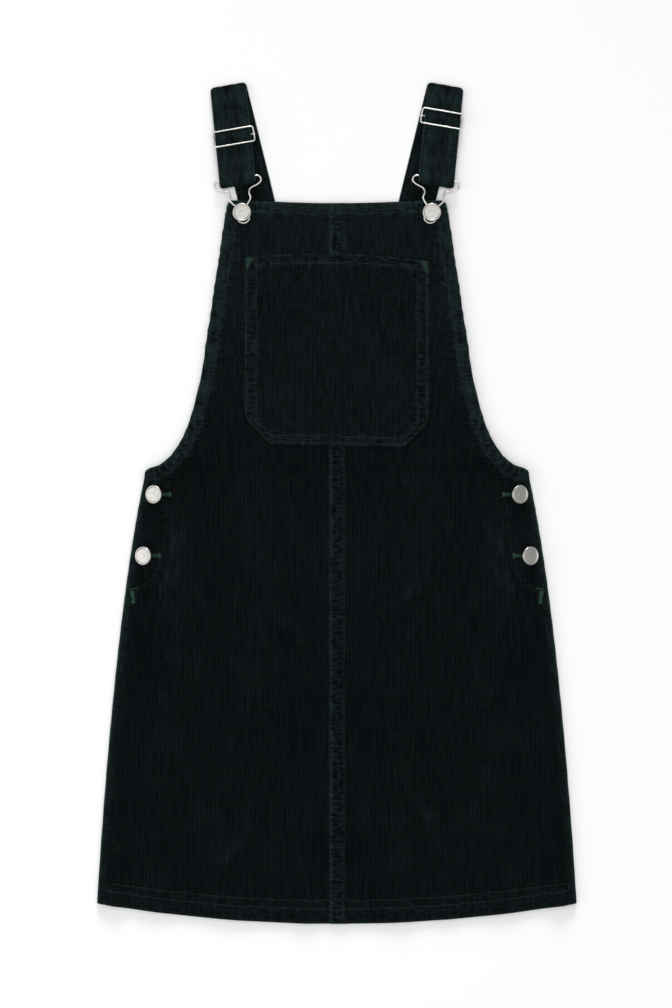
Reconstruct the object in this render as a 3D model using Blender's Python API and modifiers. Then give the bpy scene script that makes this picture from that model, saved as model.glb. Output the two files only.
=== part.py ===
"""Pinafore dress in corduroy, laid flat on its back.

The dress lies on the plane z = 0, shoulders towards +Y, front panels up. The back panel is the
lowest layer; it rolls round both sides and ends under the front panels, which lap over it. The
two straps run from the back panel up to a folded crease, come down over themselves through a
wire slider, turn round the bar of a wire hook and go back up under the slider.

Sizes and tables are in millimetres. MM turns them into metres as each mesh is made.
"""

import math
from typing import NamedTuple

import bmesh
import bpy
from mathutils import Matrix, Vector

MM = 0.001

# Walls and clearances
CLOTH = 1.5
STRAP_CLOTH = 1.8
GAP = 0.3

# Heights along the dress, measured from the middle of its length
HEM_SIDE = -420.0
HEM_SAG = 21.7
ROLL_TOP = 26.0
UNDERARM = 36.5
ARMHOLE_LENGTH = 116.0
BIB_TOP = 317.0
BIB_TOP_DIP = 2.9
BIB_DIP_START = 292.0
BACK_TOP = 215.0

# Half widths of the outline
HEM_HALF = 252.0
SIDE_BEND = (232.0, -105.0)
UNDERARM_HALF = 200.0
ARMHOLE_REACH = 43.5
BIB_TOP_HALF = 114.7
BIB_SLANT = 0.15
BACK_SHOULDER = (118.0, 45.0)
BACK_TOP_HALF = 85.0
HEM_CORNER = 5.0
BIB_CORNER = 7.0

# Rows and columns of the cloth meshes
SIDE_ROWS = 12
ARMHOLE_ROWS = 6
BIB_ROWS = 4
BACK_ROWS = 5
BACK_COLUMNS = (-0.5, 0.0, 0.5)
CENTRE_COLUMNS = 3


class Layer(NamedTuple):
    """One point of a cross-section: how far in from the side edge, and the cloth's middle height."""

    inset: float
    height: float


# The back panel's rolled side, from the flat underside round the edge to the end of its flap
ROLL = (
    Layer(5.0, 0.75),
    Layer(2.2, 1.15),
    Layer(0.85, 2.4),
    Layer(1.5, 3.9),
    Layer(4.5, 5.2),
    Layer(12.0, 5.65),
    Layer(20.0, 4.9),
    Layer(28.0, 2.55),
)
ROLL_TOP_LAYERS = ROLL[4:]
FLAT_INSET = 40.0  # further in than this, the front panel lies flat
FRONT_INSETS = (12.0, 20.0, 28.0, FLAT_INSET)
FRONT_EDGE_HEIGHT = 6.0

# How far the front panel's cut edge stands in from the side edge, by height
SEAM_INSET = 8.0
OPENING_INSET = 4.5
OPENING_BASE = (-102.0, -84.0)
OPENING_TOP = (12.0, 30.0)

# The front panels rise over the strap ends, which lie between them and the back panel
BIB_LIFT = 2.5
BIB_LIFT_HEIGHTS = (20.0, 56.0)
SIDE_LIFT_FADE = (UNDERARM, 95.0)

# Bib pocket
POCKET_HALF = 97.0
POCKET_BOTTOM = 60.0
POCKET_SIDE_TOP = 255.0
POCKET_ARCH = 6.0
POCKET_CHAMFER = 26.5
POCKET_SKEW = -0.022
POCKET_ARCH_STEPS = 8

# Straps: one band on each side, in a frame whose X runs along the crease at the shoulder
SHOULDER = (114.3, 438.5)
STRAP_TURN = math.radians(9.75)
STRAP_SPREAD = math.tan(math.radians(4.05))
STRAP_WIDTH = 38.0
STRAP_FOLD_RADIUS = 1.5
STRAP_LIFT = (205.0, 224.0)
STRAP_END = 271.0
FOLD_STEPS = 6
SLIDER_DROP = {"left": 55.3, "right": 36.1}
SLIDER_RAMP = 19.7  # the strap starts to rise on to the slider's bar this far above it
STRAP_TURN_DROP = 103.9
HOOK_RAMP = (19.0, 8.5)  # it rises again this far above its lower turn, to pass the hook's bar
HOOK_RAMP_DIP = 0.3

# Wire hardware
SLIDER_WIRE = 0.9
SLIDER_HALF = 7.9
SLIDER_CORNER = 2.5
SLIDER_CORNER_STEPS = 4
SLIDER_SIDE_STEPS = 4
SLIDER_OUTER_REACH = 20.7
SLIDER_INNER_REACH = 22.0
SLIDER_COLLAR = (1.35, 3.4)
HOOK_WIRE = 1.0
HOOK_BAR_DROP = 98.9
HOOK_BAR_TO_LOOP = 41.0
HOOK_CROSSES = (20.0, 31.0)


class HookPoint(NamedTuple):
    """A point on half of the hook's wire: across from its middle, and up from its loop's centre."""

    across: float
    along: float


HOOK_HALF = (
    HookPoint(0.0, -6.4),
    HookPoint(4.5, -4.5),
    HookPoint(6.4, 0.0),
    HookPoint(6.3, 6.0),
    HookPoint(6.2, 12.0),
    HookPoint(9.0, 15.6),
    HookPoint(10.9, 19.4),
    HookPoint(10.1, 24.2),
    HookPoint(11.6, 28.2),
    HookPoint(16.0, 30.3),
    HookPoint(20.8, 31.9),
    HookPoint(24.3, 34.8),
    HookPoint(24.4, 38.4),
    HookPoint(21.8, 40.8),
    HookPoint(18.0, 41.0),
    HookPoint(9.0, 41.0),
    HookPoint(0.0, 41.0),
)


class TurnPoint(NamedTuple):
    """A point on a turned profile."""

    radius: float
    height: float


# A tack button's cap, from the middle of its face over the rim to its underside
CAP = (
    TurnPoint(0.0, 2.3),
    TurnPoint(4.5, 2.2),
    TurnPoint(7.4, 1.8),
    TurnPoint(8.1, 2.5),
    TurnPoint(9.0, 2.6),
    TurnPoint(9.7, 1.8),
    TurnPoint(9.7, 0.9),
    TurnPoint(9.0, 0.0),
)
CAP_UNDERSIDE = 9.0
BUTTON_STEPS = 22
STEM_RADIUS = 1.6
STEM_HOLE = 2.0
TACK_RADIUS = 5.0
TACK_THICKNESS = 1.2
TACK_CLEARANCE = 0.4
BIB_BUTTON = (99.4, 304.0)
SIDE_BUTTON_HEIGHTS = {"upper": 8.9, "lower": -54.9}
SIDE_BUTTON_INSET = 15.0
SIDE_BUTTON_TILT = math.radians(28.0)
SIDE_TACK_TOP = 3.8
BUTTONHOLE_LENGTH = 19.0
BUTTONHOLE_WIDTH = 1.2
CUT_REACH = 3.0  # a cutter runs this far past the middle of a wall
CUT_REACH_TO_BACK = 1.6  # and this far down where the back panel lies close below
WIRE_STEPS = 2
WIRE_ROUNDNESS = 2
BAR_SIDES = 10
COLLAR_SIDES = 12
STEM_SIDES = 12
TACK_SIDES = 20
BAR_THINNING = 0.98  # the bar and a stem end just inside what they join
STEM_OVERLAP = (0.4, 0.9)

SIDES = {"left": -1, "right": 1}


def smoothstep(start, end, value):
    """Rise from 0 at start to 1 at end, with no corner at either."""
    share = min(max((value - start) / (end - start), 0.0), 1.0)
    return share * share * (3.0 - 2.0 * share)


def bend(first, control, last, share):
    """A point on the arc that leaves first and reaches last, both towards control."""
    return tuple(
        (1 - share) ** 2 * a + 2 * share * (1 - share) * c + share**2 * b
        for a, c, b in zip(first, control, last)
    )


SIDE_ARC = ((HEM_HALF, HEM_SIDE), SIDE_BEND, (UNDERARM_HALF, UNDERARM))


def side_share(height):
    """The share of the way along the side edge, from the hem to the underarm, at a height."""
    first, control, last = (point[1] for point in SIDE_ARC)
    a = first - 2 * control + last
    b = 2 * (control - first)
    return (-b + math.sqrt(b * b - 4 * a * (first - height))) / (2 * a)


def half_width(height):
    """Half the width of the laid dress: the side edge, the armhole's curve, then the bib's edge."""
    if height <= UNDERARM:
        return bend(*SIDE_ARC, side_share(height))[0]
    bib_edge = BIB_TOP_HALF + BIB_SLANT * (BIB_TOP - height)
    reach = max(1.0 - math.sqrt((height - UNDERARM) / ARMHOLE_LENGTH), 0.0)
    return bib_edge + ARMHOLE_REACH * reach * reach


def interpolate(points, inset):
    """The height between two neighbouring layers of a cross-section."""
    for near, far in zip(points, points[1:]):
        if inset <= far.inset:
            share = (inset - near.inset) / (far.inset - near.inset)
            return near.height + share * (far.height - near.height)
    return points[-1].height


BASE_HEIGHT = CLOTH + GAP + CLOTH / 2
FRONT_OVER_ROLL = (
    Layer(0.0, FRONT_EDGE_HEIGHT),
    *(Layer(layer.inset, layer.height + CLOTH + GAP) for layer in ROLL_TOP_LAYERS),
    Layer(FLAT_INSET, BASE_HEIGHT),
)


def front_height(height, inset):
    """Middle height of the front panels' cloth at a height along the dress and an inset."""
    over_roll = interpolate(FRONT_OVER_ROLL, inset) - BASE_HEIGHT
    fade = 1.0 - smoothstep(*SIDE_LIFT_FADE, height)
    return BASE_HEIGHT + BIB_LIFT * smoothstep(*BIB_LIFT_HEIGHTS, height) + over_roll * fade


def front_inset(height):
    """How far the front panel's edge stands in from the dress's outer edge."""
    opening = OPENING_INSET * (1.0 - smoothstep(*OPENING_TOP, height))
    return opening + (SEAM_INSET - opening) * (1.0 - smoothstep(*OPENING_BASE, height))


def row_y(height, share):
    """Y on a row at a share of the half width: the hem hangs lower, and the bib's top dips."""
    sag = HEM_SAG * max(UNDERARM - height, 0.0) / (UNDERARM - HEM_SIDE)
    dip = BIB_TOP_DIP * smoothstep(BIB_DIP_START, BIB_TOP, height)
    return height - sag * (1 - share**2) - dip * (1 - share**2) ** 2


def corner(distance, radius):
    """How far a rounded corner stands in from a square one, near its side."""
    if distance >= radius:
        return 0.0
    return radius - math.sqrt(radius**2 - (radius - distance) ** 2)


def side_heights():
    """Row heights from the hem to the top of the rolled side."""
    top = side_share(ROLL_TOP)
    return [bend(*SIDE_ARC, top * step / SIDE_ROWS)[1] for step in range(SIDE_ROWS + 1)]


def front_heights():
    """Row heights of a front panel, from the hem to the top of the bib."""
    armhole = [
        UNDERARM + ARMHOLE_LENGTH * (step / ARMHOLE_ROWS) ** 2
        for step in range(ARMHOLE_ROWS + 1)
    ]
    bib = [
        armhole[-1] + (BIB_TOP - armhole[-1]) * step / BIB_ROWS
        for step in range(1, BIB_ROWS + 1)
    ]
    return side_heights() + armhole + bib


def front_row(height, side):
    """One row of a front panel, from its side edge to the centre seam."""
    half = half_width(height)
    edge = front_inset(height)
    insets = [edge, (edge + FRONT_INSETS[0]) / 2, *FRONT_INSETS]
    inner = half - FLAT_INSET
    insets += [half - inner * (1 - step / CENTRE_COLUMNS) for step in range(1, CENTRE_COLUMNS)]
    insets.append(half - GAP / 2)
    row = []
    for inset in insets:
        x = half - inset
        y = row_y(height, x / half)
        if height == BIB_TOP:
            y -= corner(inset, BIB_CORNER)
        if height == HEM_SIDE:
            y += corner(inset - edge, HEM_CORNER)
        row.append((side * x, y, front_height(height, inset)))
    return row


def loft(bm, rows):
    """Join rows of points, each with the same count, into one open surface."""
    verts = [[bm.verts.new(point) for point in row] for row in rows]
    for lower, upper in zip(verts, verts[1:]):
        for column in range(len(lower) - 1):
            bm.faces.new((lower[column], lower[column + 1], upper[column + 1], upper[column]))


def add_object(name, mesh, material):
    """Put a mesh or a curve in the dress's collection, with its finish."""
    piece = bpy.data.objects.new(name, mesh)
    mesh.materials.append(material)
    dress.objects.link(piece)
    piece.parent = dress_root
    return piece


def add_bmesh(name, bm, material):
    """Turn millimetres into metres and make an object of the bmesh."""
    bmesh.ops.remove_doubles(bm, verts=bm.verts, dist=0.001)
    bmesh.ops.recalc_face_normals(bm, faces=bm.faces)
    bmesh.ops.scale(bm, verts=bm.verts, vec=(MM, MM, MM))
    mesh = bpy.data.meshes.new(name)
    bm.to_mesh(mesh)
    bm.free()
    return add_object(name, mesh, material)


def thicken(piece, wall):
    """Give an open cloth surface its wall, half to each side."""
    solidify = piece.modifiers.new("wall", "SOLIDIFY")
    solidify.thickness = wall * MM
    solidify.offset = 0.0
    solidify.use_even_offset = True


def make_cutter(tool):
    """Keep a helper shape out of the model."""
    tool.hide_render = True
    tool.display_type = "WIRE"
    for collection in tool.users_collection:
        collection.objects.unlink(tool)
    cutters.objects.link(tool)
    return tool


def add_tool(name, bm):
    """A helper mesh that a Boolean cuts with or joins on."""
    bmesh.ops.scale(bm, verts=bm.verts, vec=(MM, MM, MM))
    mesh = bpy.data.meshes.new(name)
    bm.to_mesh(mesh)
    bm.free()
    tool = bpy.data.objects.new(name, mesh)
    scene.collection.objects.link(tool)
    return make_cutter(tool)


def cylinder_tool(name, radius, span, place, sides=STEM_SIDES):
    """An upright cylinder between the two heights of its span."""
    bm = bmesh.new()
    low, high = span
    centre = Matrix.Translation((place[0], place[1], (low + high) / 2))
    bmesh.ops.create_cone(
        bm,
        cap_ends=True,
        segments=sides,
        radius1=radius,
        radius2=radius,
        depth=high - low,
        matrix=centre,
    )
    return add_tool(name, bm)


def box_tool(name, size, centre):
    """An upright box."""
    bm = bmesh.new()
    bmesh.ops.create_cube(bm, size=1.0)
    bmesh.ops.scale(bm, verts=bm.verts, vec=size)
    bmesh.ops.translate(bm, verts=bm.verts, vec=centre)
    return add_tool(name, bm)


def combine(piece, tool, operation):
    """Cut a tool from a piece, or join it on."""
    boolean = piece.modifiers.new(tool.name, "BOOLEAN")
    boolean.operation = operation
    boolean.object = tool


def make_front(name, side):
    """A front panel, with the holes that its buttons pass through."""
    bm = bmesh.new()
    loft(bm, [front_row(height, side) for height in front_heights()])
    panel = add_bmesh(name, bm, corduroy)
    thicken(panel, CLOTH)
    x, y = side * BIB_BUTTON[0], BIB_BUTTON[1]
    middle = front_height(y, FLAT_INSET)
    hole_span = (middle - CUT_REACH, middle + CUT_REACH)
    tack_hole = cylinder_tool(f"{name}_tack_hole", STEM_HOLE, hole_span, (x, y))
    combine(panel, tack_hole, "DIFFERENCE")
    for level, height in SIDE_BUTTON_HEIGHTS.items():
        x, y = side_button_place(side, height)
        middle = front_height(height, SIDE_BUTTON_INSET)
        eyelet_span = (middle - CUT_REACH_TO_BACK, middle + CUT_REACH)
        eyelet = cylinder_tool(f"{name}_{level}_eyelet", STEM_HOLE, eyelet_span, (x, y))
        combine(panel, eyelet, "DIFFERENCE")
        slot_centre = (x - side * BUTTONHOLE_LENGTH / 2, y, middle)
        slot_size = (BUTTONHOLE_LENGTH, BUTTONHOLE_WIDTH, 2 * CUT_REACH)
        slot = box_tool(f"{name}_{level}_slot", slot_size, slot_centre)
        combine(panel, slot, "DIFFERENCE")
    return panel


def side_button_place(side, height):
    """Where a side button's stem stands."""
    half = half_width(height)
    x = half - SIDE_BUTTON_INSET
    return side * x, row_y(height, x / half)


def back_row(height):
    """One row of the back panel where its sides roll round, from one flap's end to the other's."""
    half = half_width(height)
    right = []
    for layer in ROLL:
        x = half - layer.inset
        y = row_y(height, x / half)
        if height == HEM_SIDE:
            y += corner(layer.inset, HEM_CORNER)
        right.append((x, y, layer.height))
    left = [(-x, y, z) for x, y, z in reversed(right)]
    flat_half = half - ROLL[0].inset
    middle = [
        (share * flat_half, row_y(height, share * flat_half / half), CLOTH / 2)
        for share in BACK_COLUMNS
    ]
    return left + middle + right


def back_upper_row(height, half):
    """One row of the flat upper back, between the armholes."""
    edge = half_width(height) if height <= UNDERARM else half
    return [
        (share * half, row_y(height, share * half / edge), CLOTH / 2)
        for share in (-1.0, *BACK_COLUMNS, 1.0)
    ]


def make_back():
    """The back panel: flat where it rests, rolled round at the sides, narrow at the top."""
    bm = bmesh.new()
    loft(bm, [back_row(height) for height in side_heights()])
    start = (half_width(ROLL_TOP) - ROLL[0].inset, ROLL_TOP)
    upper = [
        bend(start, BACK_SHOULDER, (BACK_TOP_HALF, BACK_TOP), step / BACK_ROWS)
        for step in range(BACK_ROWS + 1)
    ]
    loft(bm, [back_upper_row(height, half) for half, height in upper])
    panel = add_bmesh("back", bm, corduroy)
    thicken(panel, CLOTH)
    for side_name, side in SIDES.items():
        for level, height in SIDE_BUTTON_HEIGHTS.items():
            place = side_button_place(side, height)
            middle = interpolate(ROLL_TOP_LAYERS, SIDE_BUTTON_INSET)
            name = f"back_{side_name}_{level}_hole"
            hole = cylinder_tool(name, STEM_HOLE, (middle - CUT_REACH, middle + CUT_REACH), place)
            combine(panel, hole, "DIFFERENCE")
    return panel


def make_pocket():
    """The bib pocket: a flat patch with an arched top and cut-off lower corners."""
    inner = POCKET_HALF - POCKET_CHAMFER
    outline = [
        (-inner, POCKET_BOTTOM),
        (inner, POCKET_BOTTOM),
        (POCKET_HALF, POCKET_BOTTOM + POCKET_CHAMFER),
    ]
    for step in range(POCKET_ARCH_STEPS + 1):
        share = 1 - 2 * step / POCKET_ARCH_STEPS
        outline.append((share * POCKET_HALF, POCKET_SIDE_TOP + POCKET_ARCH * (1 - share**2)))
    outline.append((-POCKET_HALF, POCKET_BOTTOM + POCKET_CHAMFER))
    curve = bpy.data.curves.new("bib_pocket", "CURVE")
    curve.dimensions = "2D"
    curve.fill_mode = "BOTH"
    curve.extrude = CLOTH / 2 * MM
    spline = curve.splines.new("POLY")
    spline.points.add(len(outline) - 1)
    spline.use_cyclic_u = True
    for point, (x, y) in zip(spline.points, outline):
        point.co = (x * MM, (y + POCKET_SKEW * x) * MM, 0.0, 1.0)
    pocket = add_object("bib_pocket", curve, corduroy)
    front_top = front_height(POCKET_SIDE_TOP, FLAT_INSET) + CLOTH / 2
    pocket.location.z = (front_top + GAP + CLOTH / 2) * MM


def strap_path(slider_drop):
    """The strap's run in its own frame: (direction it drifts, distance down, middle height)."""
    half = STRAP_CLOTH / 2
    lying = half
    returning = STRAP_CLOTH + GAP + half
    covering = returning + STRAP_CLOTH + GAP
    bar = returning + half + GAP + SLIDER_WIRE
    crest = bar + SLIDER_WIRE + GAP + half
    fold_top = lying + 2 * STRAP_FOLD_RADIUS
    on_back = CLOTH + GAP + half
    hook_turn = HOOK_WIRE + GAP + half
    path = [
        (1, STRAP_END, on_back),
        (1, STRAP_LIFT[1], on_back),
        (1, STRAP_LIFT[0], lying),
        (1, (STRAP_LIFT[0] + STRAP_TURN_DROP) / 2, lying),
        (1, STRAP_TURN_DROP / 2, lying),
    ]
    centre = STRAP_FOLD_RADIUS + half
    for step in range(FOLD_STEPS + 1):
        turn = math.pi * step / FOLD_STEPS
        drop = centre - STRAP_FOLD_RADIUS * math.sin(turn)
        height = lying + STRAP_FOLD_RADIUS * (1 - math.cos(turn))
        path.append((1 - 2 * step / FOLD_STEPS, drop, height))
    path += [
        (-1, slider_drop - SLIDER_RAMP, fold_top),
        (-1, slider_drop - SLIDER_HALF, covering),
        (-1, slider_drop, crest),
        (-1, slider_drop + SLIDER_HALF, covering),
        (-1, STRAP_TURN_DROP - HOOK_RAMP[0], covering),
        (-1, STRAP_TURN_DROP - HOOK_RAMP[1], returning + 2 * hook_turn - HOOK_RAMP_DIP),
    ]
    for step in range(FOLD_STEPS + 1):
        turn = math.pi * step / FOLD_STEPS
        drop = STRAP_TURN_DROP + hook_turn * math.sin(turn)
        path.append((-1, drop, returning + hook_turn * (1 + math.cos(turn))))
    path.append((-1, slider_drop - SLIDER_WIRE, returning))
    return path


def place_on_shoulder(piece, side):
    """Set a strap's or hook's own frame at the crease on the shoulder."""
    piece.location = (side * SHOULDER[0] * MM, SHOULDER[1] * MM, 0.0)
    piece.rotation_euler.z = -side * STRAP_TURN


def make_strap(side_name, side):
    """A strap: a double band of corduroy, its rows all along the crease."""
    rows = []
    for drift, drop, height in strap_path(SLIDER_DROP[side_name]):
        middle = drift * drop * STRAP_SPREAD
        edges = (middle - STRAP_WIDTH / 2, middle + STRAP_WIDTH / 2)
        rows.append([(-side * across, -drop, height) for across in edges])
    bm = bmesh.new()
    loft(bm, rows)
    strap = add_bmesh(f"strap_{side_name}", bm, corduroy)
    thicken(strap, STRAP_CLOTH)
    place_on_shoulder(strap, side)


def smooth_loop(points, steps):
    """A closed smooth curve through points, with steps from each to the next."""
    count = len(points)
    loop = []
    for index in range(count):
        before, start, end, after = (points[(index + offset) % count] for offset in (-1, 0, 1, 2))
        for step in range(steps):
            point = [
                spline_value((b, s, e, a), step / steps)
                for b, s, e, a in zip(before, start, end, after)
            ]
            loop.append(tuple(point))
    return loop


def spline_value(values, share):
    """A smooth curve's value between the middle two of four values."""
    before, start, end, after = values
    rate = end - before
    curve = 2 * before - 5 * start + 4 * end - after
    twist = 3 * start - before - 3 * end + after
    return 0.5 * (2 * start + rate * share + curve * share**2 + twist * share**3)


def wire_curve(name, points, radius):
    """A closed loop of round wire."""
    curve = bpy.data.curves.new(name, "CURVE")
    curve.dimensions = "3D"
    curve.bevel_depth = radius * MM
    curve.bevel_resolution = WIRE_ROUNDNESS
    spline = curve.splines.new("POLY")
    spline.points.add(len(points) - 1)
    spline.use_cyclic_u = True
    for target, (x, y, z) in zip(spline.points, points):
        target.co = (x * MM, y * MM, z * MM, 1.0)
    return curve


def make_hook(side_name, side):
    """The wire hook: a bar in the strap's lower turn, shoulders, a neck, and a loop round the button."""
    returning = STRAP_CLOTH + GAP + STRAP_CLOTH / 2
    bar_height = returning + STRAP_CLOTH / 2 + GAP + HOOK_WIRE
    loop_height = front_height(BIB_BUTTON[1], FLAT_INSET) + CLOTH / 2 + GAP + HOOK_WIRE
    outline = [*HOOK_HALF, *(HookPoint(-p.across, p.along) for p in reversed(HOOK_HALF[1:-1]))]
    loop_drop = HOOK_BAR_DROP + HOOK_BAR_TO_LOOP
    middle = -STRAP_TURN_DROP * STRAP_SPREAD
    points = []
    for across, along in smooth_loop(outline, WIRE_STEPS):
        height = loop_height + (bar_height - loop_height) * smoothstep(*HOOK_CROSSES, along)
        points.append((-side * (middle + across), along - loop_drop, height))
    hook = add_object(f"hook_{side_name}", wire_curve(f"hook_{side_name}", points, HOOK_WIRE), nickel)
    place_on_shoulder(hook, side)


def slider_outline(side):
    """The slider's frame: two wires over the strap, joined by side bars that dip to the middle bar."""
    returning = STRAP_CLOTH + GAP + STRAP_CLOTH / 2
    bar_height = returning + STRAP_CLOTH / 2 + GAP + SLIDER_WIRE
    strap_top = returning + 1.5 * STRAP_CLOTH + GAP
    wire_height = strap_top + 1.5 * GAP + SLIDER_WIRE
    reach = {1: SLIDER_INNER_REACH, -1: SLIDER_OUTER_REACH}
    straight = SLIDER_HALF - SLIDER_CORNER
    flat = []
    for across, along, start in ((1, -1, -90), (1, 1, 0), (-1, 1, 90), (-1, -1, 180)):
        centre_x = across * (reach[across] - SLIDER_CORNER)
        for step in range(SLIDER_CORNER_STEPS + 1):
            angle = math.radians(start + 90 * step / SLIDER_CORNER_STEPS)
            x = centre_x + SLIDER_CORNER * math.cos(angle)
            flat.append((x, along * straight + SLIDER_CORNER * math.sin(angle)))
        if along == across:
            continue
        for step in range(1, SLIDER_SIDE_STEPS):
            y = -across * straight * (1 - 2 * step / SLIDER_SIDE_STEPS)
            flat.append((across * reach[across], y))
    points = []
    for x, y in flat:
        dip = math.cos(math.pi * y / (2 * SLIDER_HALF)) ** 2 if abs(y) < SLIDER_HALF else 0.0
        points.append((-side * x, y, wire_height - (wire_height - bar_height) * dip))
    return points, bar_height


def make_slider(side_name, side):
    """The wire slider, with its middle bar wrapped on to the side bars."""
    name = f"slider_{side_name}"
    points, bar_height = slider_outline(side)
    guide = add_object(f"{name}_wire", wire_curve(f"{name}_wire", points, SLIDER_WIRE), nickel)
    graph = bpy.context.evaluated_depsgraph_get()
    mesh = bpy.data.meshes.new_from_object(guide.evaluated_get(graph))
    bpy.data.objects.remove(guide)
    mesh.name = name
    mesh.materials.clear()
    slider = add_object(name, mesh, nickel)
    bm = bmesh.new()
    along_bar = Matrix.Rotation(math.pi / 2, 4, "Y")
    across_bar = Matrix.Rotation(math.pi / 2, 4, "X")
    length = SLIDER_INNER_REACH + SLIDER_OUTER_REACH
    bar_middle = (-side * (SLIDER_INNER_REACH - SLIDER_OUTER_REACH) / 2, 0.0, bar_height)
    bmesh.ops.create_cone(
        bm,
        cap_ends=True,
        segments=BAR_SIDES,
        radius1=SLIDER_WIRE * BAR_THINNING,
        radius2=SLIDER_WIRE * BAR_THINNING,
        depth=length,
        matrix=Matrix.Translation(bar_middle) @ along_bar,
    )
    tools = [add_tool(f"{name}_bar", bm)]
    for label, reach in (("inner", SLIDER_INNER_REACH), ("outer", -SLIDER_OUTER_REACH)):
        bm = bmesh.new()
        radius, width = SLIDER_COLLAR
        bmesh.ops.create_cone(
            bm,
            cap_ends=True,
            segments=COLLAR_SIDES,
            radius1=radius,
            radius2=radius,
            depth=width,
            matrix=Matrix.Translation((-side * reach, 0.0, bar_height)) @ across_bar,
        )
        tools.append(add_tool(f"{name}_{label}_collar", bm))
    drop = SLIDER_DROP[side_name]
    centre = Vector((side * drop * STRAP_SPREAD, -drop, 0.0)) * MM
    for piece in (slider, *tools):
        place_on_shoulder(piece, side)
        piece.location += Matrix.Rotation(-side * STRAP_TURN, 3, "Z") @ centre
    for tool in tools:
        combine(slider, tool, "UNION")


def turned(name, profile):
    """A turned solid, its profile running from the top of the axis to its bottom."""
    mesh = bpy.data.meshes.new(name)
    points = [(point.radius * MM, 0.0, point.height * MM) for point in profile]
    mesh.from_pydata(points, [(index, index + 1) for index in range(len(points) - 1)], [])
    piece = add_object(name, mesh, nickel)
    screw = piece.modifiers.new("turn", "SCREW")
    screw.steps = BUTTON_STEPS
    screw.render_steps = BUTTON_STEPS
    screw.use_merge_vertices = True
    screw.merge_threshold = 1e-5
    return piece


def make_bib_button(side_name, side):
    """A tack button that stands through the bib, with the hook's loop round its stem."""
    panel = front_height(BIB_BUTTON[1], FLAT_INSET)
    seat = panel + CLOTH / 2 + 2 * GAP + 2 * HOOK_WIRE
    tack_top = panel - CLOTH / 2 - TACK_CLEARANCE - seat
    profile = (
        *CAP,
        TurnPoint(STEM_RADIUS, 0.0),
        TurnPoint(STEM_RADIUS, tack_top),
        TurnPoint(TACK_RADIUS, tack_top),
        TurnPoint(TACK_RADIUS, tack_top - TACK_THICKNESS),
        TurnPoint(0.0, tack_top - TACK_THICKNESS),
    )
    button = turned(f"bib_button_{side_name}", profile)
    button.location = (side * BIB_BUTTON[0] * MM, BIB_BUTTON[1] * MM, seat * MM)


def make_side_button(side_name, side, level):
    """A tack button through the front's buttonhole, its cap leaning out over the rolled side."""
    height = SIDE_BUTTON_HEIGHTS[level]
    x, y = side_button_place(side, height)
    lean = CAP_UNDERSIDE * math.sin(SIDE_BUTTON_TILT)
    low_rim_inset = SIDE_BUTTON_INSET - CAP_UNDERSIDE * math.cos(SIDE_BUTTON_TILT)
    seat = front_height(height, low_rim_inset) + CLOTH / 2 + GAP + lean
    name = f"side_button_{side_name}_{level}"
    button = turned(name, (*CAP, TurnPoint(0.0, 0.0)))
    button.location = (x * MM, y * MM, seat * MM)
    button.rotation_euler.y = side * SIDE_BUTTON_TILT
    tack_span = (SIDE_TACK_TOP - TACK_THICKNESS, SIDE_TACK_TOP)
    stem_span = (tack_span[0] + STEM_OVERLAP[0], seat + STEM_OVERLAP[1])
    stem = cylinder_tool(f"{name}_stem", STEM_RADIUS, stem_span, (x, y))
    tack = cylinder_tool(f"{name}_tack", TACK_RADIUS, tack_span, (x, y), TACK_SIDES)
    combine(button, stem, "UNION")
    combine(button, tack, "UNION")


def make_material(name, color, roughness, metallic):
    """A plain finish."""
    material = bpy.data.materials.new(name)
    material.use_nodes = True
    shader = material.node_tree.nodes["Principled BSDF"]
    shader.inputs["Base Color"].default_value = (*color, 1.0)
    shader.inputs["Roughness"].default_value = roughness
    shader.inputs["Metallic"].default_value = metallic
    return material


for old in list(bpy.data.objects):
    bpy.data.objects.remove(old)
scene = bpy.context.scene
dress = bpy.data.collections.new("pinafore_dress")
cutters = bpy.data.collections.new("cutters")
scene.collection.children.link(dress)
scene.collection.children.link(cutters)
dress_root = bpy.data.objects.new("pinafore_dress", None)
dress.objects.link(dress_root)
corduroy = make_material("green_corduroy", (0.006, 0.012, 0.012), 0.95, 0.0)
nickel = make_material("polished_nickel", (0.72, 0.71, 0.69), 0.25, 1.0)

make_back()
make_pocket()
for side_label, side_sign in SIDES.items():
    make_front(f"front_{side_label}", side_sign)
    make_strap(side_label, side_sign)
    make_slider(side_label, side_sign)
    make_hook(side_label, side_sign)
    make_bib_button(side_label, side_sign)
    for button_level in SIDE_BUTTON_HEIGHTS:
        make_side_button(side_label, side_sign, button_level)
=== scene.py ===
"""Looks of a corduroy pinafore dress laid flat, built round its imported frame.

The cloth pieces are fine shells on the forms of the plain solids: straight-grain wales, hems, a
felled centre seam, puckers along the stitching and the soft creases of cloth that has been worn
and laid down. Every stitch that shows is its own small piece of thread. Sizes are in millimetres,
and MM turns them into metres as each mesh is made.
"""

import logging
import math
from dataclasses import dataclass, field
from enum import Enum
from typing import Callable

import bmesh
import bpy
import numpy as np
from mathutils import Matrix, Vector


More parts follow.
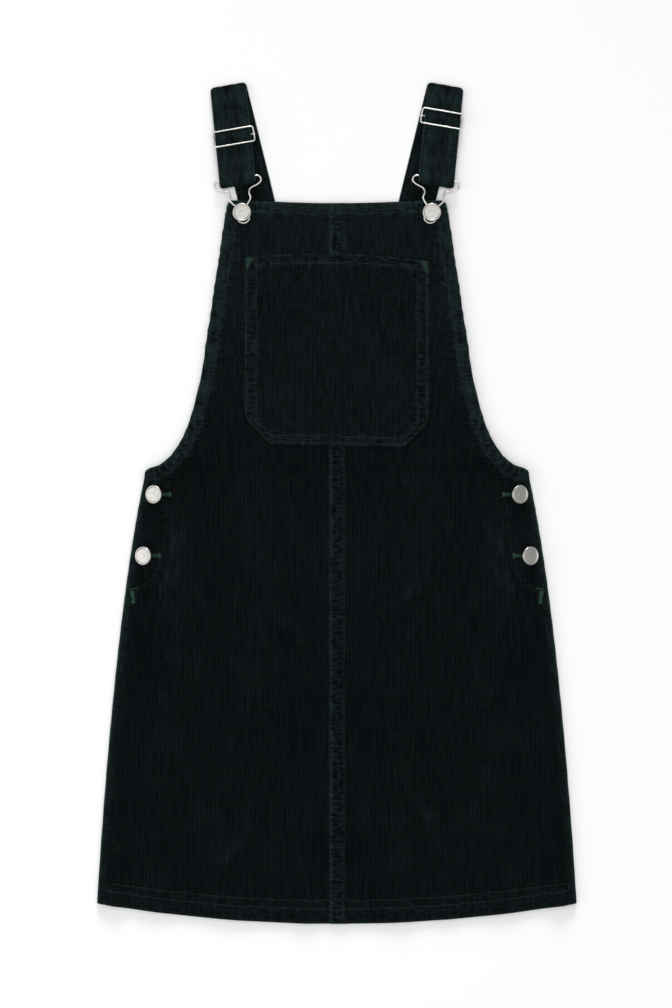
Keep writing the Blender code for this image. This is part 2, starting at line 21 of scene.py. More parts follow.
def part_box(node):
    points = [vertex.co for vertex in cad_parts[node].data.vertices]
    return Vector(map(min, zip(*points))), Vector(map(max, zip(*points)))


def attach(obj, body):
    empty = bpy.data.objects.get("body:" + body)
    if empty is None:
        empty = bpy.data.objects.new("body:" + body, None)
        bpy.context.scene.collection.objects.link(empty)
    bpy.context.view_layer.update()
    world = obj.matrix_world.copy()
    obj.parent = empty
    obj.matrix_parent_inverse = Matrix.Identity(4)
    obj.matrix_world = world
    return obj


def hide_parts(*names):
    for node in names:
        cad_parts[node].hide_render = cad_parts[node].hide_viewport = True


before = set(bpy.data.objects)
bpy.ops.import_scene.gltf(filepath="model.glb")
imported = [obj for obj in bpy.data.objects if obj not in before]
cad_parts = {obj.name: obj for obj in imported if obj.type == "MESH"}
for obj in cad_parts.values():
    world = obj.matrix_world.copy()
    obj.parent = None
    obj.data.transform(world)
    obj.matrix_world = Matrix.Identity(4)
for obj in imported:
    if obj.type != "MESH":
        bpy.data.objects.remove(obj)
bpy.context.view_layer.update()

MM = 0.001
BODY = "root"
CLOTH_SLOT = "green_corduroy"
METAL_SLOT = "polished_nickel"
Array = np.ndarray
Line = list[tuple[float, float]]

# Painted highlight: how much lighter a crease's ridge is painted for how sharply it stands up.
RIDGE_HIGHLIGHT = 0.75

# Where the buttons sit, and how far the side ones lean with the rolled edge.
BIB_BUTTON = (99.4, 304.0)
SIDE_BUTTON_INSET = 15.0
SIDE_BUTTON_LEAN = math.radians(28.0)
STEM = 2.6
TACK_THICKNESS = 1.2

log = logging.getLogger("pinafore")


class Side(Enum):
    """A side of the dress, as the sign of X on it."""

    LEFT = -1
    RIGHT = 1

    @property
    def word(self) -> str:
        """The side's name as it stands in node names."""
        return self.name.lower()


class Level(Enum):
    """A button of a side opening, as its height along the dress."""

    UPPER = 8.9
    LOWER = -54.9


# ---------------------------------------------------------------- shared sums


def smoothstep(start: float, end: float, value: Array | float) -> Array:
    """Rise from 0 at start to 1 at end, with no corner at either.

    Args:
        start: Where the rise starts.
        end: Where it ends.
        value: Places along it.

    Returns:
        The share risen at each place.
    """
    share = np.clip((np.asarray(value, float) - start) / (end - start), 0.0, 1.0)
    return share * share * (3.0 - 2.0 * share)


def ripple(run: Array, wave: float) -> Array:
    """An uneven ripple from -1 to 1 along a run, with waves of about that length."""
    long_part = np.sin(2 * math.pi * run / wave + 1.7 * np.sin(run / (2.9 * wave)))
    return 0.65 * long_part + 0.35 * np.sin(2 * math.pi * run / (0.57 * wave) + 0.9)


def distance_to(line: Line, xs: Array, ys: Array) -> tuple[Array, Array]:
    """How far places are from a line, and how far along it their nearest point is.

    Args:
        line: The line's points.
        xs: X of each place.
        ys: Y of each place.

    Returns:
        The distances, and the runs along the line.
    """
    best = np.full(xs.shape, 1e9)
    run_at = np.zeros(xs.shape)
    run = 0.0
    for (x0, y0), (x1, y1) in zip(line, line[1:]):
        dx, dy = x1 - x0, y1 - y0
        length = math.hypot(dx, dy)
        share = np.clip(((xs - x0) * dx + (ys - y0) * dy) / length**2, 0.0, 1.0)
        gap = np.hypot(xs - x0 - share * dx, ys - y0 - share * dy)
        nearer = gap < best
        best = np.where(nearer, gap, best)
        run_at = np.where(nearer, run + share * length, run_at)
        run += length
    return best, run_at


def runs_along(points: Array) -> Array:
    """How far along a line each of its points is."""
    return np.concatenate([[0.0], np.cumsum(np.hypot(*np.diff(points, axis=0).T))])


def ways_along(points: Array, *spacing: Array) -> Array:
    """The way a line runs at each of its points, one unit long."""
    ways = np.gradient(points, *spacing, axis=0)
    return ways / np.hypot(ways[:, 0], ways[:, 1])[:, None]


def mirrored(half: float, step: float) -> Array:
    """Column places from one side to the other, a little past half on both sides."""
    right = np.arange(math.ceil(half / step) + 1) * step
    return np.concatenate([-right[:0:-1], right])


def walk(line: Line, step: float) -> Array:
    """Points at even steps along a line.

    Args:
        line: The line's points.
        step: The distance from one to the next.

    Returns:
        An array of points, one a row.
    """
    points = np.array(line, float)
    runs = runs_along(points)
    places = np.arange(step / 2, runs[-1], step)
    return np.stack([np.interp(places, runs, points[:, i]) for i in range(2)], axis=1)


def rounded(points: Line, steps: int = 6) -> Line:
    """A smooth open line through points, with that many steps from each to the next."""
    padded = [points[0], *points, points[-1]]
    line: Line = []
    for before, start, end, after in zip(padded, padded[1:], padded[2:], padded[3:]):
        for step in range(steps):
            line.append(tuple(catmull(before, start, end, after, step / steps)))
    return [*line, points[-1]]


def catmull(before, start, end, after, share: float) -> Array:
    """A point between start and end on the smooth curve through four points."""
    b, s, e, a = (np.array(point, float) for point in (before, start, end, after))
    square, cube = share**2, share**3
    return 0.5 * (
        2 * s + (e - b) * share + (2 * b - 5 * s + 4 * e - a) * square
        + (3 * s - b - 3 * e + a) * cube
    )


def levels(start: float, end: float, step: float, features: tuple[float, ...] = ()) -> Array:
    """Row places from start to end, closer together at each feature.

    Args:
        start: The first row.
        end: The last row.
        step: The usual spacing.
        features: Where a seam or a step crosses and needs close rows.

    Returns:
        The sorted places.
    """
    plain = np.linspace(start, end, max(2, round((end - start) / step) + 1))
    near = [place + offset for place in features for offset in (-2.4, -1.4, -0.7, 0.0, 0.7, 1.4, 2.4)]
    near = np.array([place for place in near if start < place < end])
    if len(near):
        apart = np.abs(plain[:, None] - near[None, :]).min(axis=1)
        keep = (apart > 1.2) | (plain == start) | (plain == end)
        plain = np.concatenate([plain[keep], near])
    return np.unique(np.round(plain, 3))


# ---------------------------------------------------------------- finishes


def linear(colour: str) -> tuple[float, float, float, float]:
    """An sRGB hex colour as linear red, green and blue with an alpha of 1."""
    channels = [int(colour[i : i + 2], 16) / 255 for i in (1, 3, 5)]
    red, green, blue = (
        c / 12.92 if c <= 0.04045 else ((c + 0.055) / 1.055) ** 2.4 for c in channels
    )
    return red, green, blue, 1.0


def add_node(tree: bpy.types.NodeTree, kind: str, settings: dict, inputs: dict) -> bpy.types.Node:
    """Add a node.

    Args:
        tree: The material's nodes.
        kind: The node's type.
        settings: Its attributes.
        inputs: For each input socket, a value or the output socket that feeds it.

    Returns:
        The node.
    """
    node = tree.nodes.new(kind)
    for name, value in settings.items():
        setattr(node, name, value)
    for name, value in inputs.items():
        if isinstance(value, bpy.types.NodeSocket):
            tree.links.new(value, node.inputs[name])
        else:
            node.inputs[name].default_value = value
    return node


def new_material(name: str, **sockets: object) -> tuple[bpy.types.NodeTree, bpy.types.Node]:
    """A material with one Principled shader, and its even settings on the shader's sockets."""
    material = bpy.data.materials.new(name)
    material.use_nodes = True
    tree = material.node_tree
    shader = tree.nodes["Principled BSDF"]
    for socket, value in sockets.items():
        shader.inputs[socket.replace("_", " ")].default_value = value
    return tree, shader


@dataclass(frozen=True)
class Corduroy:
    """Cotton corduroy: cut weft floats brushed up into wales.

    The pile swallows light face-on, so the cloth is nearly black, and gives some back at a slant
    and where rubbing or a press has laid it flat. Part of that slant sheen is painted into the colour too.
    """

    name: str = "cotton_corduroy"
    deep: str = "#050709"
    brushed: str = "#141c1d"
    brushed_share: float = 0.1
    worn: str = "#33524d"
    wale: float = 3.0
    patch: float = 60.0
    mottle: float = 4.2
    streak: float = 2.2
    fleck: float = 1.1
    ladder: float = 2.9
    base_share: float = 0.017
    ridge_share: float = 0.015
    patch_share: float = 0.04
    mottle_share: float = 0.045
    streak_share: float = 0.08
    fleck_share: float = 0.1
    pucker_share: float = 0.28
    spotted: float = 3.0
    uneven: float = 5.0
    pile_rise: float = 0.3
    pucker_rise: float = 2.4

    def make(self) -> bpy.types.Material:
        """Make the material. It reads the piece's cut map, its rubbing with the painted sheen, and how
        puckered it is.
        """
        tree, shader = new_material(
            self.name,
            Roughness=0.95,
            Specular_IOR_Level=0.03,
            Sheen_Weight=0.09,
            Sheen_Roughness=0.45,
            Sheen_Tint=linear("#9fb8b4"),
        )
        cut = add_node(tree, "ShaderNodeUVMap", {"uv_map": "cut"}, {}).outputs["UV"]
        split = add_node(tree, "ShaderNodeSeparateXYZ", {}, {"Vector": cut})
        turn = self.step(tree, "MULTIPLY", split.outputs["X"], 2 * math.pi / (self.wale * MM))
        wave = self.step(tree, "COSINE", turn)
        worn, puckered = (
            add_node(tree, "ShaderNodeAttribute", {"attribute_name": name}, {}).outputs["Fac"]
            for name in ("wear", "pucker")
        )
        patch = self.noise(tree, cut, self.patch, 2.0)
        mottle = self.noise(tree, cut, self.mottle, 2.0, (1.0, 0.3))
        rungs = self.noise(tree, cut, self.ladder, 1.0, (0.35, 1.0))
        spots = self.step(tree, "MULTIPLY_ADD", mottle, self.spotted, 1.0)
        contrast = self.step(tree, "MULTIPLY_ADD", patch, self.uneven, 1.0)
        puckers = self.step(tree, "MULTIPLY", puckered, rungs)
        parts = (
            (self.step(tree, "MULTIPLY", wave, contrast), self.ridge_share),
            (patch, self.patch_share),
            (mottle, self.mottle_share),
            (self.noise(tree, cut, self.streak, 1.0, (1.0, 0.06)), self.streak_share),
            (self.noise(tree, cut, self.fleck, 1.0), self.fleck_share),
            (puckers, self.pucker_share),
        )
        # Rubbing and painted sheen both come in through the wear map, lightening the colour along the ramp.
        share = self.step(tree, "MULTIPLY_ADD", worn, spots, self.base_share)
        for value, weight in parts:
            share = self.step(tree, "MULTIPLY_ADD", value, weight, share)
        colour = add_node(tree, "ShaderNodeValToRGB", {}, {"Fac": share})
        first, last = colour.color_ramp.elements
        first.color, last.color = linear(self.deep), linear(self.worn)
        colour.color_ramp.elements.new(self.brushed_share).color = linear(self.brushed)
        tree.links.new(colour.outputs["Color"], shader.inputs["Base Color"])
        pile = self.step(tree, "MULTIPLY", self.noise(tree, cut, self.fleck * 0.6, 2.0), self.pile_rise)
        height = self.step(tree, "MULTIPLY_ADD", puckers, self.pucker_rise, pile)
        bump = add_node(
            tree, "ShaderNodeBump", {}, {"Strength": 0.6, "Distance": MM, "Height": height}
        )
        tree.links.new(bump.outputs["Normal"], shader.inputs["Normal"])
        return bpy.data.materials[self.name]

    def step(self, tree: bpy.types.NodeTree, what: str, *values: object) -> bpy.types.NodeSocket:
        """One step of arithmetic on values or sockets."""
        return add_node(tree, "ShaderNodeMath", {"operation": what}, dict(enumerate(values))).outputs[0]

    def noise(
        self,
        tree: bpy.types.NodeTree,
        place: bpy.types.NodeSocket,
        size: float,
        detail: float,
        squeeze: tuple[float, float] = (1.0, 0.45),
    ) -> bpy.types.NodeSocket:
        """Noise about zero, with lumps of that size over its squeeze across and along the wales."""
        longer = add_node(
            tree, "ShaderNodeMapping", {}, {"Vector": place, "Scale": (*squeeze, 1.0)}
        )
        made = add_node(
            tree,
            "ShaderNodeTexNoise",
            {},
            {"Vector": longer.outputs[0], "Scale": 1 / (size * MM), "Detail": detail},
        )
        return self.step(tree, "SUBTRACT", made.outputs["Fac"], 0.5)


@dataclass(frozen=True)
class Thread:
    """Core-spun polyester sewing thread: smooth and tight, so it is lighter than the pile."""

    name: str
    colour: str
    ply: float = 0.35

    def make(self) -> bpy.types.Material:
        """Make the material, its plies a fine bump."""
        tree, shader = new_material(
            self.name,
            Base_Color=linear(self.colour),
            Roughness=0.55,
            Specular_IOR_Level=0.2,
            Sheen_Weight=0.1,
        )
        place = add_node(tree, "ShaderNodeTexCoord", {}, {}).outputs["Object"]
        plies = add_node(
            tree,
            "ShaderNodeTexWave",
            {"bands_direction": "DIAGONAL"},
            {"Vector": place, "Scale": 1 / (self.ply * MM) / 20, "Distortion": 1.0},
        )
        bump = add_node(
            tree,
            "ShaderNodeBump",
            {},
            {"Strength": 0.4, "Distance": 0.1 * MM, "Height": plies.outputs["Fac"]},
        )
        tree.links.new(bump.outputs["Normal"], shader.inputs["Normal"])
        return bpy.data.materials[self.name]


@dataclass(frozen=True)
class Nickel:
    """Nickel plate on brass or steel wire: bright, a little warm, brushed soft by handling."""

    name: str
    colour: str = "#d9d7d2"
    roughness: float = 0.28
    handling: float = 4.0

    def make(self) -> bpy.types.Material:
        """Make the material, its gloss uneven where fingers have been."""
        tree, shader = new_material(self.name, Base_Color=linear(self.colour), Metallic=1.0)
        place = add_node(tree, "ShaderNodeTexCoord", {}, {}).outputs["Object"]
        smears = add_node(
            tree,
            "ShaderNodeTexNoise",
            {},
            {"Vector": place, "Scale": 1 / (self.handling * MM), "Detail": 3.0},
        )
        gloss = add_node(
            tree,
            "ShaderNodeMapRange",
            {},
            {
                "Value": smears.outputs["Fac"],
                "To Min": self.roughness - 0.08,
                "To Max": self.roughness + 0.12,
            },
        )
        tree.links.new(gloss.outputs["Result"], shader.inputs["Roughness"])
        return bpy.data.materials[self.name]


@dataclass(frozen=True)
class Paper:
    """Seamless studio paper: matt and even."""

    name: str = "studio_paper"
    colour: str = "#fcfcfc"

    def make(self) -> bpy.types.Material:
        """Make the material."""
        new_material(
            self.name, Base_Color=linear(self.colour), Roughness=1.0, Specular_IOR_Level=0.0
        )
        return bpy.data.materials[self.name]


# ---------------------------------------------------------------- the laid form


@dataclass(frozen=True)
class LaidForm:
    """The dress as it lies: its outline from above, and the heights of its layers."""

    cloth: float = 1.5
    gap: float = 0.3
    hem_side: float = -420.0
    hem_sag: float = 21.7
    roll_top: float = 26.0
    underarm: float = 36.5
    armhole_length: float = 116.0
    bib_top: float = 317.0
    bib_top_dip: float = 2.9
    dip_start: float = 292.0
    hem_half: float = 252.0
    side_bend: tuple[float, float] = (232.0, -105.0)
    underarm_half: float = 200.0
    armhole_reach: float = 43.5
    bib_top_half: float = 114.7
    bib_slant: float = 0.15
    seam_inset: float = 8.0
    opening_inset: float = 4.5
    opening_base: tuple[float, float] = (-102.0, -84.0)
    opening_top: tuple[float, float] = (12.0, 30.0)
    base: float = 2.55
    bib_lift: float = 2.5
    lift_heights: tuple[float, float] = (20.0, 56.0)
    fade: tuple[float, float] = (36.5, 95.0)
    roll_insets: tuple[float, ...] = (0.0, 4.5, 12.0, 20.0, 28.0, 40.0)
    roll_heights: tuple[float, ...] = (6.0, 7.0, 7.45, 6.7, 4.35, 2.55)

    def half_width(self, height: Array) -> Array:
        """Half the width of the laid dress at heights along it."""
        height = np.asarray(height, float)
        a = self.hem_side - 2 * self.side_bend[1] + self.underarm
        b = 2 * (self.side_bend[1] - self.hem_side)
        low = np.minimum(height, self.underarm)
        share = (-b + np.sqrt(b * b - 4 * a * (self.hem_side - low))) / (2 * a)
        side = (
            (1 - share) ** 2 * self.hem_half
            + 2 * share * (1 - share) * self.side_bend[0]
            + share**2 * self.underarm_half
        )
        above = np.maximum(height - self.underarm, 0.0)
        reach = np.maximum(1.0 - np.sqrt(above / self.armhole_length), 0.0)
        bib = self.bib_top_half + self.bib_slant * (self.bib_top - height)
        return np.where(height <= self.underarm, side, bib + self.armhole_reach * reach**2)

    def row_y(self, height: Array, x: Array) -> Array:
        """Y of places on a row: the hem hangs lower in its middle, and the bib's top dips."""
        share = np.clip(np.abs(x) / self.half_width(height), 0.0, 1.0)
        reach = (self.underarm - height) / (self.underarm - self.hem_side)
        sag = self.hem_sag * np.maximum(reach, 0.0)
        dip = self.bib_top_dip * smoothstep(self.dip_start, self.bib_top, height)
        return height - sag * (1 - share**2) - dip * (1 - share**2) ** 2

    def height_at(self, x: Array, y: Array) -> Array:
        """The height along the dress of places seen from above."""
        height = np.array(y, float)
        for _ in range(4):
            height = height + (y - self.row_y(height, x))
        return height

    def front_inset(self, height: Array) -> Array:
        """How far a front's edge stands in from the outline."""
        opening = self.opening_inset * (1.0 - smoothstep(*self.opening_top, height))
        return opening + (self.seam_inset - opening) * (1.0 - smoothstep(*self.opening_base, height))

    def front_top(self, height: Array, x: Array) -> Array:
        """The height of the front panels' outer face."""
        inset = np.clip(self.half_width(height) - np.abs(x), 0.0, 60.0)
        fine = np.linspace(0.0, 60.0, 121)
        rough = np.interp(fine, self.roll_insets, self.roll_heights)
        kernel = np.exp(-0.5 * (np.arange(-12, 13) / 5.0) ** 2)
        soft = np.convolve(np.pad(rough, 12, "edge"), kernel / kernel.sum(), "valid")
        over_roll = np.interp(inset, fine, soft) - self.base
        over_roll = over_roll * (1.0 - smoothstep(*self.fade, height))
        lift = self.bib_lift * smoothstep(*self.lift_heights, height)
        return self.base + self.cloth / 2 + lift + over_roll

    def armhole_edge(self) -> Line:
        """The right armhole's edge and the bib's side, from the underarm to the bib's top."""
        heights = self.underarm + (self.bib_top - self.underarm) * np.linspace(0, 1, 60) ** 2
        return list(zip(self.half_width(heights + 1e-6), heights))

    def inside_armhole(self, offset: float, start: float = 0.0) -> Line:
        """A line that runs inside the armhole's edge at an even distance."""
        edge = np.array(self.armhole_edge())
        way = ways_along(edge)
        inner = edge + offset * np.stack([-way[:, 1], way[:, 0]], axis=1)
        return [tuple(point) for point in inner if point[1] > self.underarm - start]


FORM = LaidForm()


# ---------------------------------------------------------------- seams and creases


@dataclass(frozen=True)
class Seam:
    """A row of stitches through cloth, on the cloth's face seen from above."""

    line: Line
    depth: float = 0.45
    rise: float = 0.22
    wave: float = 9.5
    reach: float = 6.0
    wear: float = 0.05
    pucker: float = 0.6
    stitch: float = 2.9


class Crease:
    """A soft trough or ridge of laid cloth, deepest in its middle and gone at both ends."""

    def __init__(self, rise: float, width: float, *points: tuple[float, float]) -> None:
        """Take how far it stands above the cloth around it, its width and the way it runs."""
        self.rise = rise
        self.width = width
        self.line = rounded(list(points), 4)
        self.length = sum(math.dist(a, b) for a, b in zip(self.line, self.line[1:]))

    def share(self, xs: Array, ys: Array) -> Array:
        """How much of its full rise it has at places on the cloth."""
        gap, run = distance_to(self.line, xs, ys)
        share = np.clip(run / self.length, 0.0, 1.0)
        along = np.sin(math.pi * share) ** 0.7
        uneven = 0.75 + 0.25 * ripple(run, 47.0)
        return along * uneven * np.exp(-((gap / self.width) ** 2))


@dataclass
class ClothFace:
    """The outer face of laid cloth: its height, its rubbing with painted sheen added in, and how puckered it
    is.
    """

    z: Array
    wear: Array
    pucker: Array

    @classmethod
    def at(cls, z: Array) -> "ClothFace":
        """A smooth new face at that height."""
        return cls(z, np.zeros(z.shape), np.zeros(z.shape))

    def sew(self, seam: Seam, xs: Array, ys: Array) -> None:
        """Pull the cloth down under a seam, and pucker and press it on both sides."""
        gap, run = distance_to(seam.line, xs, ys)
        ripples = ripple(run, seam.wave)
        near = np.exp(-((gap / seam.reach) ** 2))
        self.z = self.z - seam.depth * np.exp(-((gap / 1.1) ** 2)) + seam.rise * ripples * near
        pressed = (0.75 + 0.25 * ripples) * (0.75 + 0.35 * ripple(run, 9 * seam.wave))
        self.wear = self.wear + seam.wear * pressed * np.exp(-((gap / 2.0) ** 2))
        self.pucker = np.maximum(self.pucker, seam.pucker * near)

    def crease(self, crease: Crease, xs: Array, ys: Array, mask: Array | float = 1.0) -> None:
        """Raise or sink the cloth along a crease; a ridge gets a painted highlight, the more so if it is
        sharp.
        """
        share = crease.share(xs, ys) * mask
        self.z = self.z + crease.rise * share
        # Painted highlight: the ridge is painted lighter through the wear map.
        self.wear = self.wear + RIDGE_HIGHLIGHT * max(crease.rise, 0.0) / crease.width**2 * share**2


def wale_relief(across: Array, deep: float = 0.35, pitch: float = 3.0) -> Array:
    """Wales: rounded ridges with narrow grooves between them, from -deep to 0."""
    phase = np.cos(2 * math.pi * across / pitch)
    return -deep * (0.5 - 0.5 * phase) ** 1.6


# ---------------------------------------------------------------- making pieces


@dataclass
class Workshop:
    """What every piece is finished with: the materials, and how a piece joins the frame."""

    corduroy: bpy.types.Material
    thread: bpy.types.Material
    tack_thread: bpy.types.Material
    nickel: bpy.types.Material
    # A darker copy of the nickel for the buttons: painted shade.
    button_nickel: bpy.types.Material

    def piece(
        self,
        name: str,
        mesh: bpy.types.Mesh,
        material: bpy.types.Material,
        slot: str,
        *nodes: str,
    ) -> bpy.types.Object:
        """Make a mesh an object that rides on the dress.

        Args:
            name: The piece's name.
            mesh: Its mesh, in place, in metres.
            material: Its finish.
            slot: The record's slot that the finish belongs to; not used.
            nodes: The plain solids that it stands for.

        Returns:
            The object.
        """
        mesh.materials.append(material)
        mesh.shade_smooth()
        made = bpy.data.objects.new(name, mesh)
        bpy.context.scene.collection.objects.link(made)
        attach(made, BODY)
        if nodes:
            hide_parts(*nodes)
        log.info("%s: %d faces", name, len(mesh.polygons))
        return made

    def shell(self, made: bpy.types.Object, wall: float) -> None:
        """Give a cloth face its wall, on its inner side."""
        solidify = made.modifiers.new("wall", "SOLIDIFY")
        solidify.thickness = wall * MM
        solidify.offset = -1.0


def cut_cloth(
    name: str,
    columns: Array,
    rows: Array,
    limits: Callable[[float], tuple[float, float]],
    flip: bool = False,
    step_in: float | None = None,
) -> bpy.types.Mesh:
    """Cut a straight-grain piece: a fine grid, its outer columns brought in to the cut's edges.

    Args:
        name: The mesh's name.
        columns: Places of the columns across the cloth.
        rows: Places of the rows along it.
        limits: The cut's two edges at a row.
        flip: Whether the face of the cloth looks down.
        step_in: A height at which the cut steps straight in, and is left open.

    Returns:
        The flat mesh, in millimetres, with the cloth's own map named cut.
    """
    bm = bmesh.new()
    across, along = len(columns) - 1, len(rows) - 1
    bmesh.ops.create_grid(bm, x_segments=across, y_segments=along, size=0.5)
    edges = [limits(float(row)) for row in rows]
    for vert in bm.verts:
        i = round((vert.co.x + 0.5) * across)
        j = round((vert.co.y + 0.5) * along)
        low, high = edges[j]
        vert.co = (min(max(columns[i], low), high), rows[j], 0.0)
    bmesh.ops.remove_doubles(bm, verts=bm.verts, dist=0.02)
    if step_in is not None:
        low, high = limits(step_in + 0.5)
        outside = [
            face
            for face in bm.faces
            if face.calc_center_median().y > step_in
            and any(not low - 0.1 < vert.co.x < high + 0.1 for vert in face.verts)
        ]
        bmesh.ops.delete(bm, geom=outside, context="FACES")
    if flip:
        bmesh.ops.reverse_faces(bm, faces=bm.faces)
    layer = bm.loops.layers.uv.new("cut")
    for face in bm.faces:
        for loop in face.loops:
            loop[layer].uv = (loop.vert.co.x * MM, loop.vert.co.y * MM)
    return to_mesh(bm, name)


def to_mesh(bm: bmesh.types.BMesh, name: str) -> bpy.types.Mesh:
    """Turn a bmesh into a named mesh and free it."""
    mesh = bpy.data.meshes.new(name)
    bm.to_mesh(mesh)
    bm.free()
    return mesh


def add_rod(bm: bmesh.types.BMesh, radius: float, depth: float, matrix: Matrix, sides: int) -> dict:
    """Add a capped round rod, its middle and direction set by a matrix."""
    return bmesh.ops.create_cone(
        bm,
        cap_ends=True,
        segments=sides,
        radius1=radius,
        radius2=radius,
        depth=depth,
        matrix=matrix,
    )


def flat_places(mesh: bpy.types.Mesh) -> tuple[Array, Array]:
    """Places of a cut mesh's points across and along the cloth."""
    flat = np.zeros(len(mesh.vertices) * 3)
    mesh.vertices.foreach_get("co", flat)
    return flat[0::3], flat[1::3]


def lay_down(mesh: bpy.types.Mesh, points: Array, face: ClothFace) -> None:
    """Bring a cut mesh's points to where they lie, and note each one's rubbing with its painted sheen, and
    how puckered it is.

    Args:
        mesh: The mesh.
        points: Where each point lies, in millimetres, one a row.
        face: The cloth's face at the points.
    """
    mesh.vertices.foreach_set("co", (points * MM).ravel())
    for name, values in (("wear", face.wear), ("pucker", face.pucker)):
        mesh.attributes.new(name, "FLOAT", "POINT").data.foreach_set("value", values)
    mesh.update()


@dataclass
class FrontPanel:
    """A front panel, skirt and bib in one, with its hem, armhole and side opening.

    The right one laps over the left at the middle in a felled seam.
    """

    shop: Workshop
    side: Side
    wall: float = 1.1
    column: float = 0.75
    row: float = 5.6
    seam_rows: tuple[float, float] = (-6.2, 7.5)
    lap: float = 7.6
    lap_rise: float = 1.15
    lap_fall: tuple[float, float] = (8.4, 12.5)
    hem_rows: tuple[float, float] = (14.7, 23.1)
    armhole_row: float = 12.6
    bib_row: float = 12.2

    STRAIN = (
        Crease(2.2, 4.5, (165, 13), (169, -18), (173, -52), (183, -88), (196, -120)),
        Crease(-0.5, 4.0, (172, 8), (175, -20), (178, -52), (188, -84), (200, -112)),
        Crease(1.9, 5.5, (152, 17), (159, -22), (164, -58), (174, -94), (188, -130)),
        Crease(1.8, 7.0, (186, 22), (171, 33), (157, 53), (148, 82)),
        Crease(-0.5, 7.0, (176, 10), (160, 24), (146, 46)),
        Crease(1.6, 8.0, (146, 70), (137, 104), (130, 146), (126, 190)),
        Crease(1.0, 6.0, (108, 300), (114, 270), (117, 235), (122, 200)),
        Crease(-0.4, 5.0, (84, 298), (70, 282), (40, 276)),
    )
    CREASES = {
        Side.LEFT: (
            Crease(3.2, 9.0, (76, -104), (50, -130), (23, -160)),
            Crease(-0.5, 8.0, (62, -96), (40, -118), (18, -140)),
            Crease(3.0, 8.5, (82, -328), (108, -364), (136, -404)),
            Crease(2.4, 7.0, (236, -345), (226, -372), (215, -404)),
            Crease(4.2, 24.0, (58, 10), (72, -120), (94, -250), (108, -400), (112, -500)),
            Crease(-0.5, 18.0, (102, 10), (114, -130), (132, -260), (146, -405)),
            Crease(4.6, 20.0, (146, -30), (164, -160), (182, -290), (192, -410), (196, -520)),
            Crease(1.8, 9.0, (44, 44), (72, 26), (104, 22)),
            Crease(2.4, 10.0, (124, -148), (88, -196), (42, -228)),
            Crease(2.6, 12.0, (30, -330), (36, -390), (34, -440), (34, -500)),
        ),
        Side.RIGHT: (
            Crease(3.8, 20.0, (40, -10), (52, -130), (64, -260), (66, -400), (66, -500)),
            Crease(-0.5, 16.0, (92, 0), (104, -120), (120, -250), (130, -405)),
            Crease(4.8, 22.0, (122, -20), (144, -150), (166, -280), (176, -400), (180, -520)),
            Crease(3.0, 9.0, (116, -56), (84, -90), (44, -122)),
            Crease(2.8, 8.5, (64, -292), (96, -330), (116, -380)),
            Crease(-0.5, 14.0, (206, -180), (216, -270), (222, -360)),
            Crease(1.9, 9.0, (46, 40), (78, 20), (112, 20)),
            Crease(2.2, 9.0, (214, -206), (200, -250), (180, -284)),
            Crease(2.2, 11.0, (112, -360), (118, -410), (116, -500)),
        ),
    }

    def opening_line(self) -> Line:
        """The right side's facing stitches: down beside the opening, then out to its base."""
        points = [(178, 22), (178.4, -2), (181.5, -39), (185.5, -62), (193, -79), (203.5, -89), (218, -92)]
        return rounded(points)

    def seams(self) -> list[Seam]:
        """The rows of stitches on this panel, on the right side of the dress."""
        armhole = FORM.inside_armhole(self.armhole_row, self.armhole_row + 1.4)
        top_corner = min(armhole, key=lambda p: abs(p[1] - (FORM.bib_top - self.bib_row)))
        rows = [Seam(armhole, rise=0.34, wave=8.5, reach=8.0, wear=0.07, pucker=0.9)]
        for rise in self.hem_rows:
            height = FORM.hem_side + rise
            xs = np.linspace(0.0, float(FORM.half_width(height)) - FORM.seam_inset, 40)
            rows.append(Seam(list(zip(xs, FORM.row_y(height, xs))), wave=11.0, wear=0.03))
        height = FORM.bib_top - self.bib_row
        xs = np.linspace(0.0, top_corner[0], 20)
        rows.append(Seam(list(zip(xs, FORM.row_y(height, xs))), wear=0.06, wave=8.0, pucker=0.8))
        rows.append(Seam(self.opening_line(), depth=0.35, rise=0.15, wear=0.02, pucker=0.4, stitch=1.3))
        return rows

    def felled_seams(self) -> list[Seam]:
        """The two rows of the felled centre seam."""
        ends = (float(FORM.row_y(FORM.hem_side, 0.0)) + 0.6, float(FORM.row_y(FORM.bib_top, 0.0)) - 0.6)
        lines = [[(x, y) for y in np.linspace(*ends, 12)] for x in self.seam_rows]
        lighter_marks = (0.12, 0.03)
        return [
            Seam(line, rise=0.38, wave=6.3, reach=4.2, wear=wear, pucker=0.4)
            for line, wear in zip(lines, lighter_marks)
        ]

    def top(self, x: Array, height: Array, fine: bool = True) -> ClothFace:
        """The panel's outer face.

        Args:
            x: Places across the dress, on this panel's side.
            height: Heights along the dress.
            fine: Whether the wales are in it.

        Returns:
            The face at each place.
        """
        out = x * self.side.value
        y = FORM.row_y(height, x)
        face = ClothFace.at(FORM.front_top(height, x))
        for seam in self.seams():
            face.sew(seam, out, y)
        for crease in (*self.STRAIN, *self.CREASES[self.side]):
            face.crease(crease, out, y)
        self.fold_edges(face, out, y, height)
        self.lap_over(face, x, y)
        if fine:
            face.z = face.z + wale_relief(x)
        return face

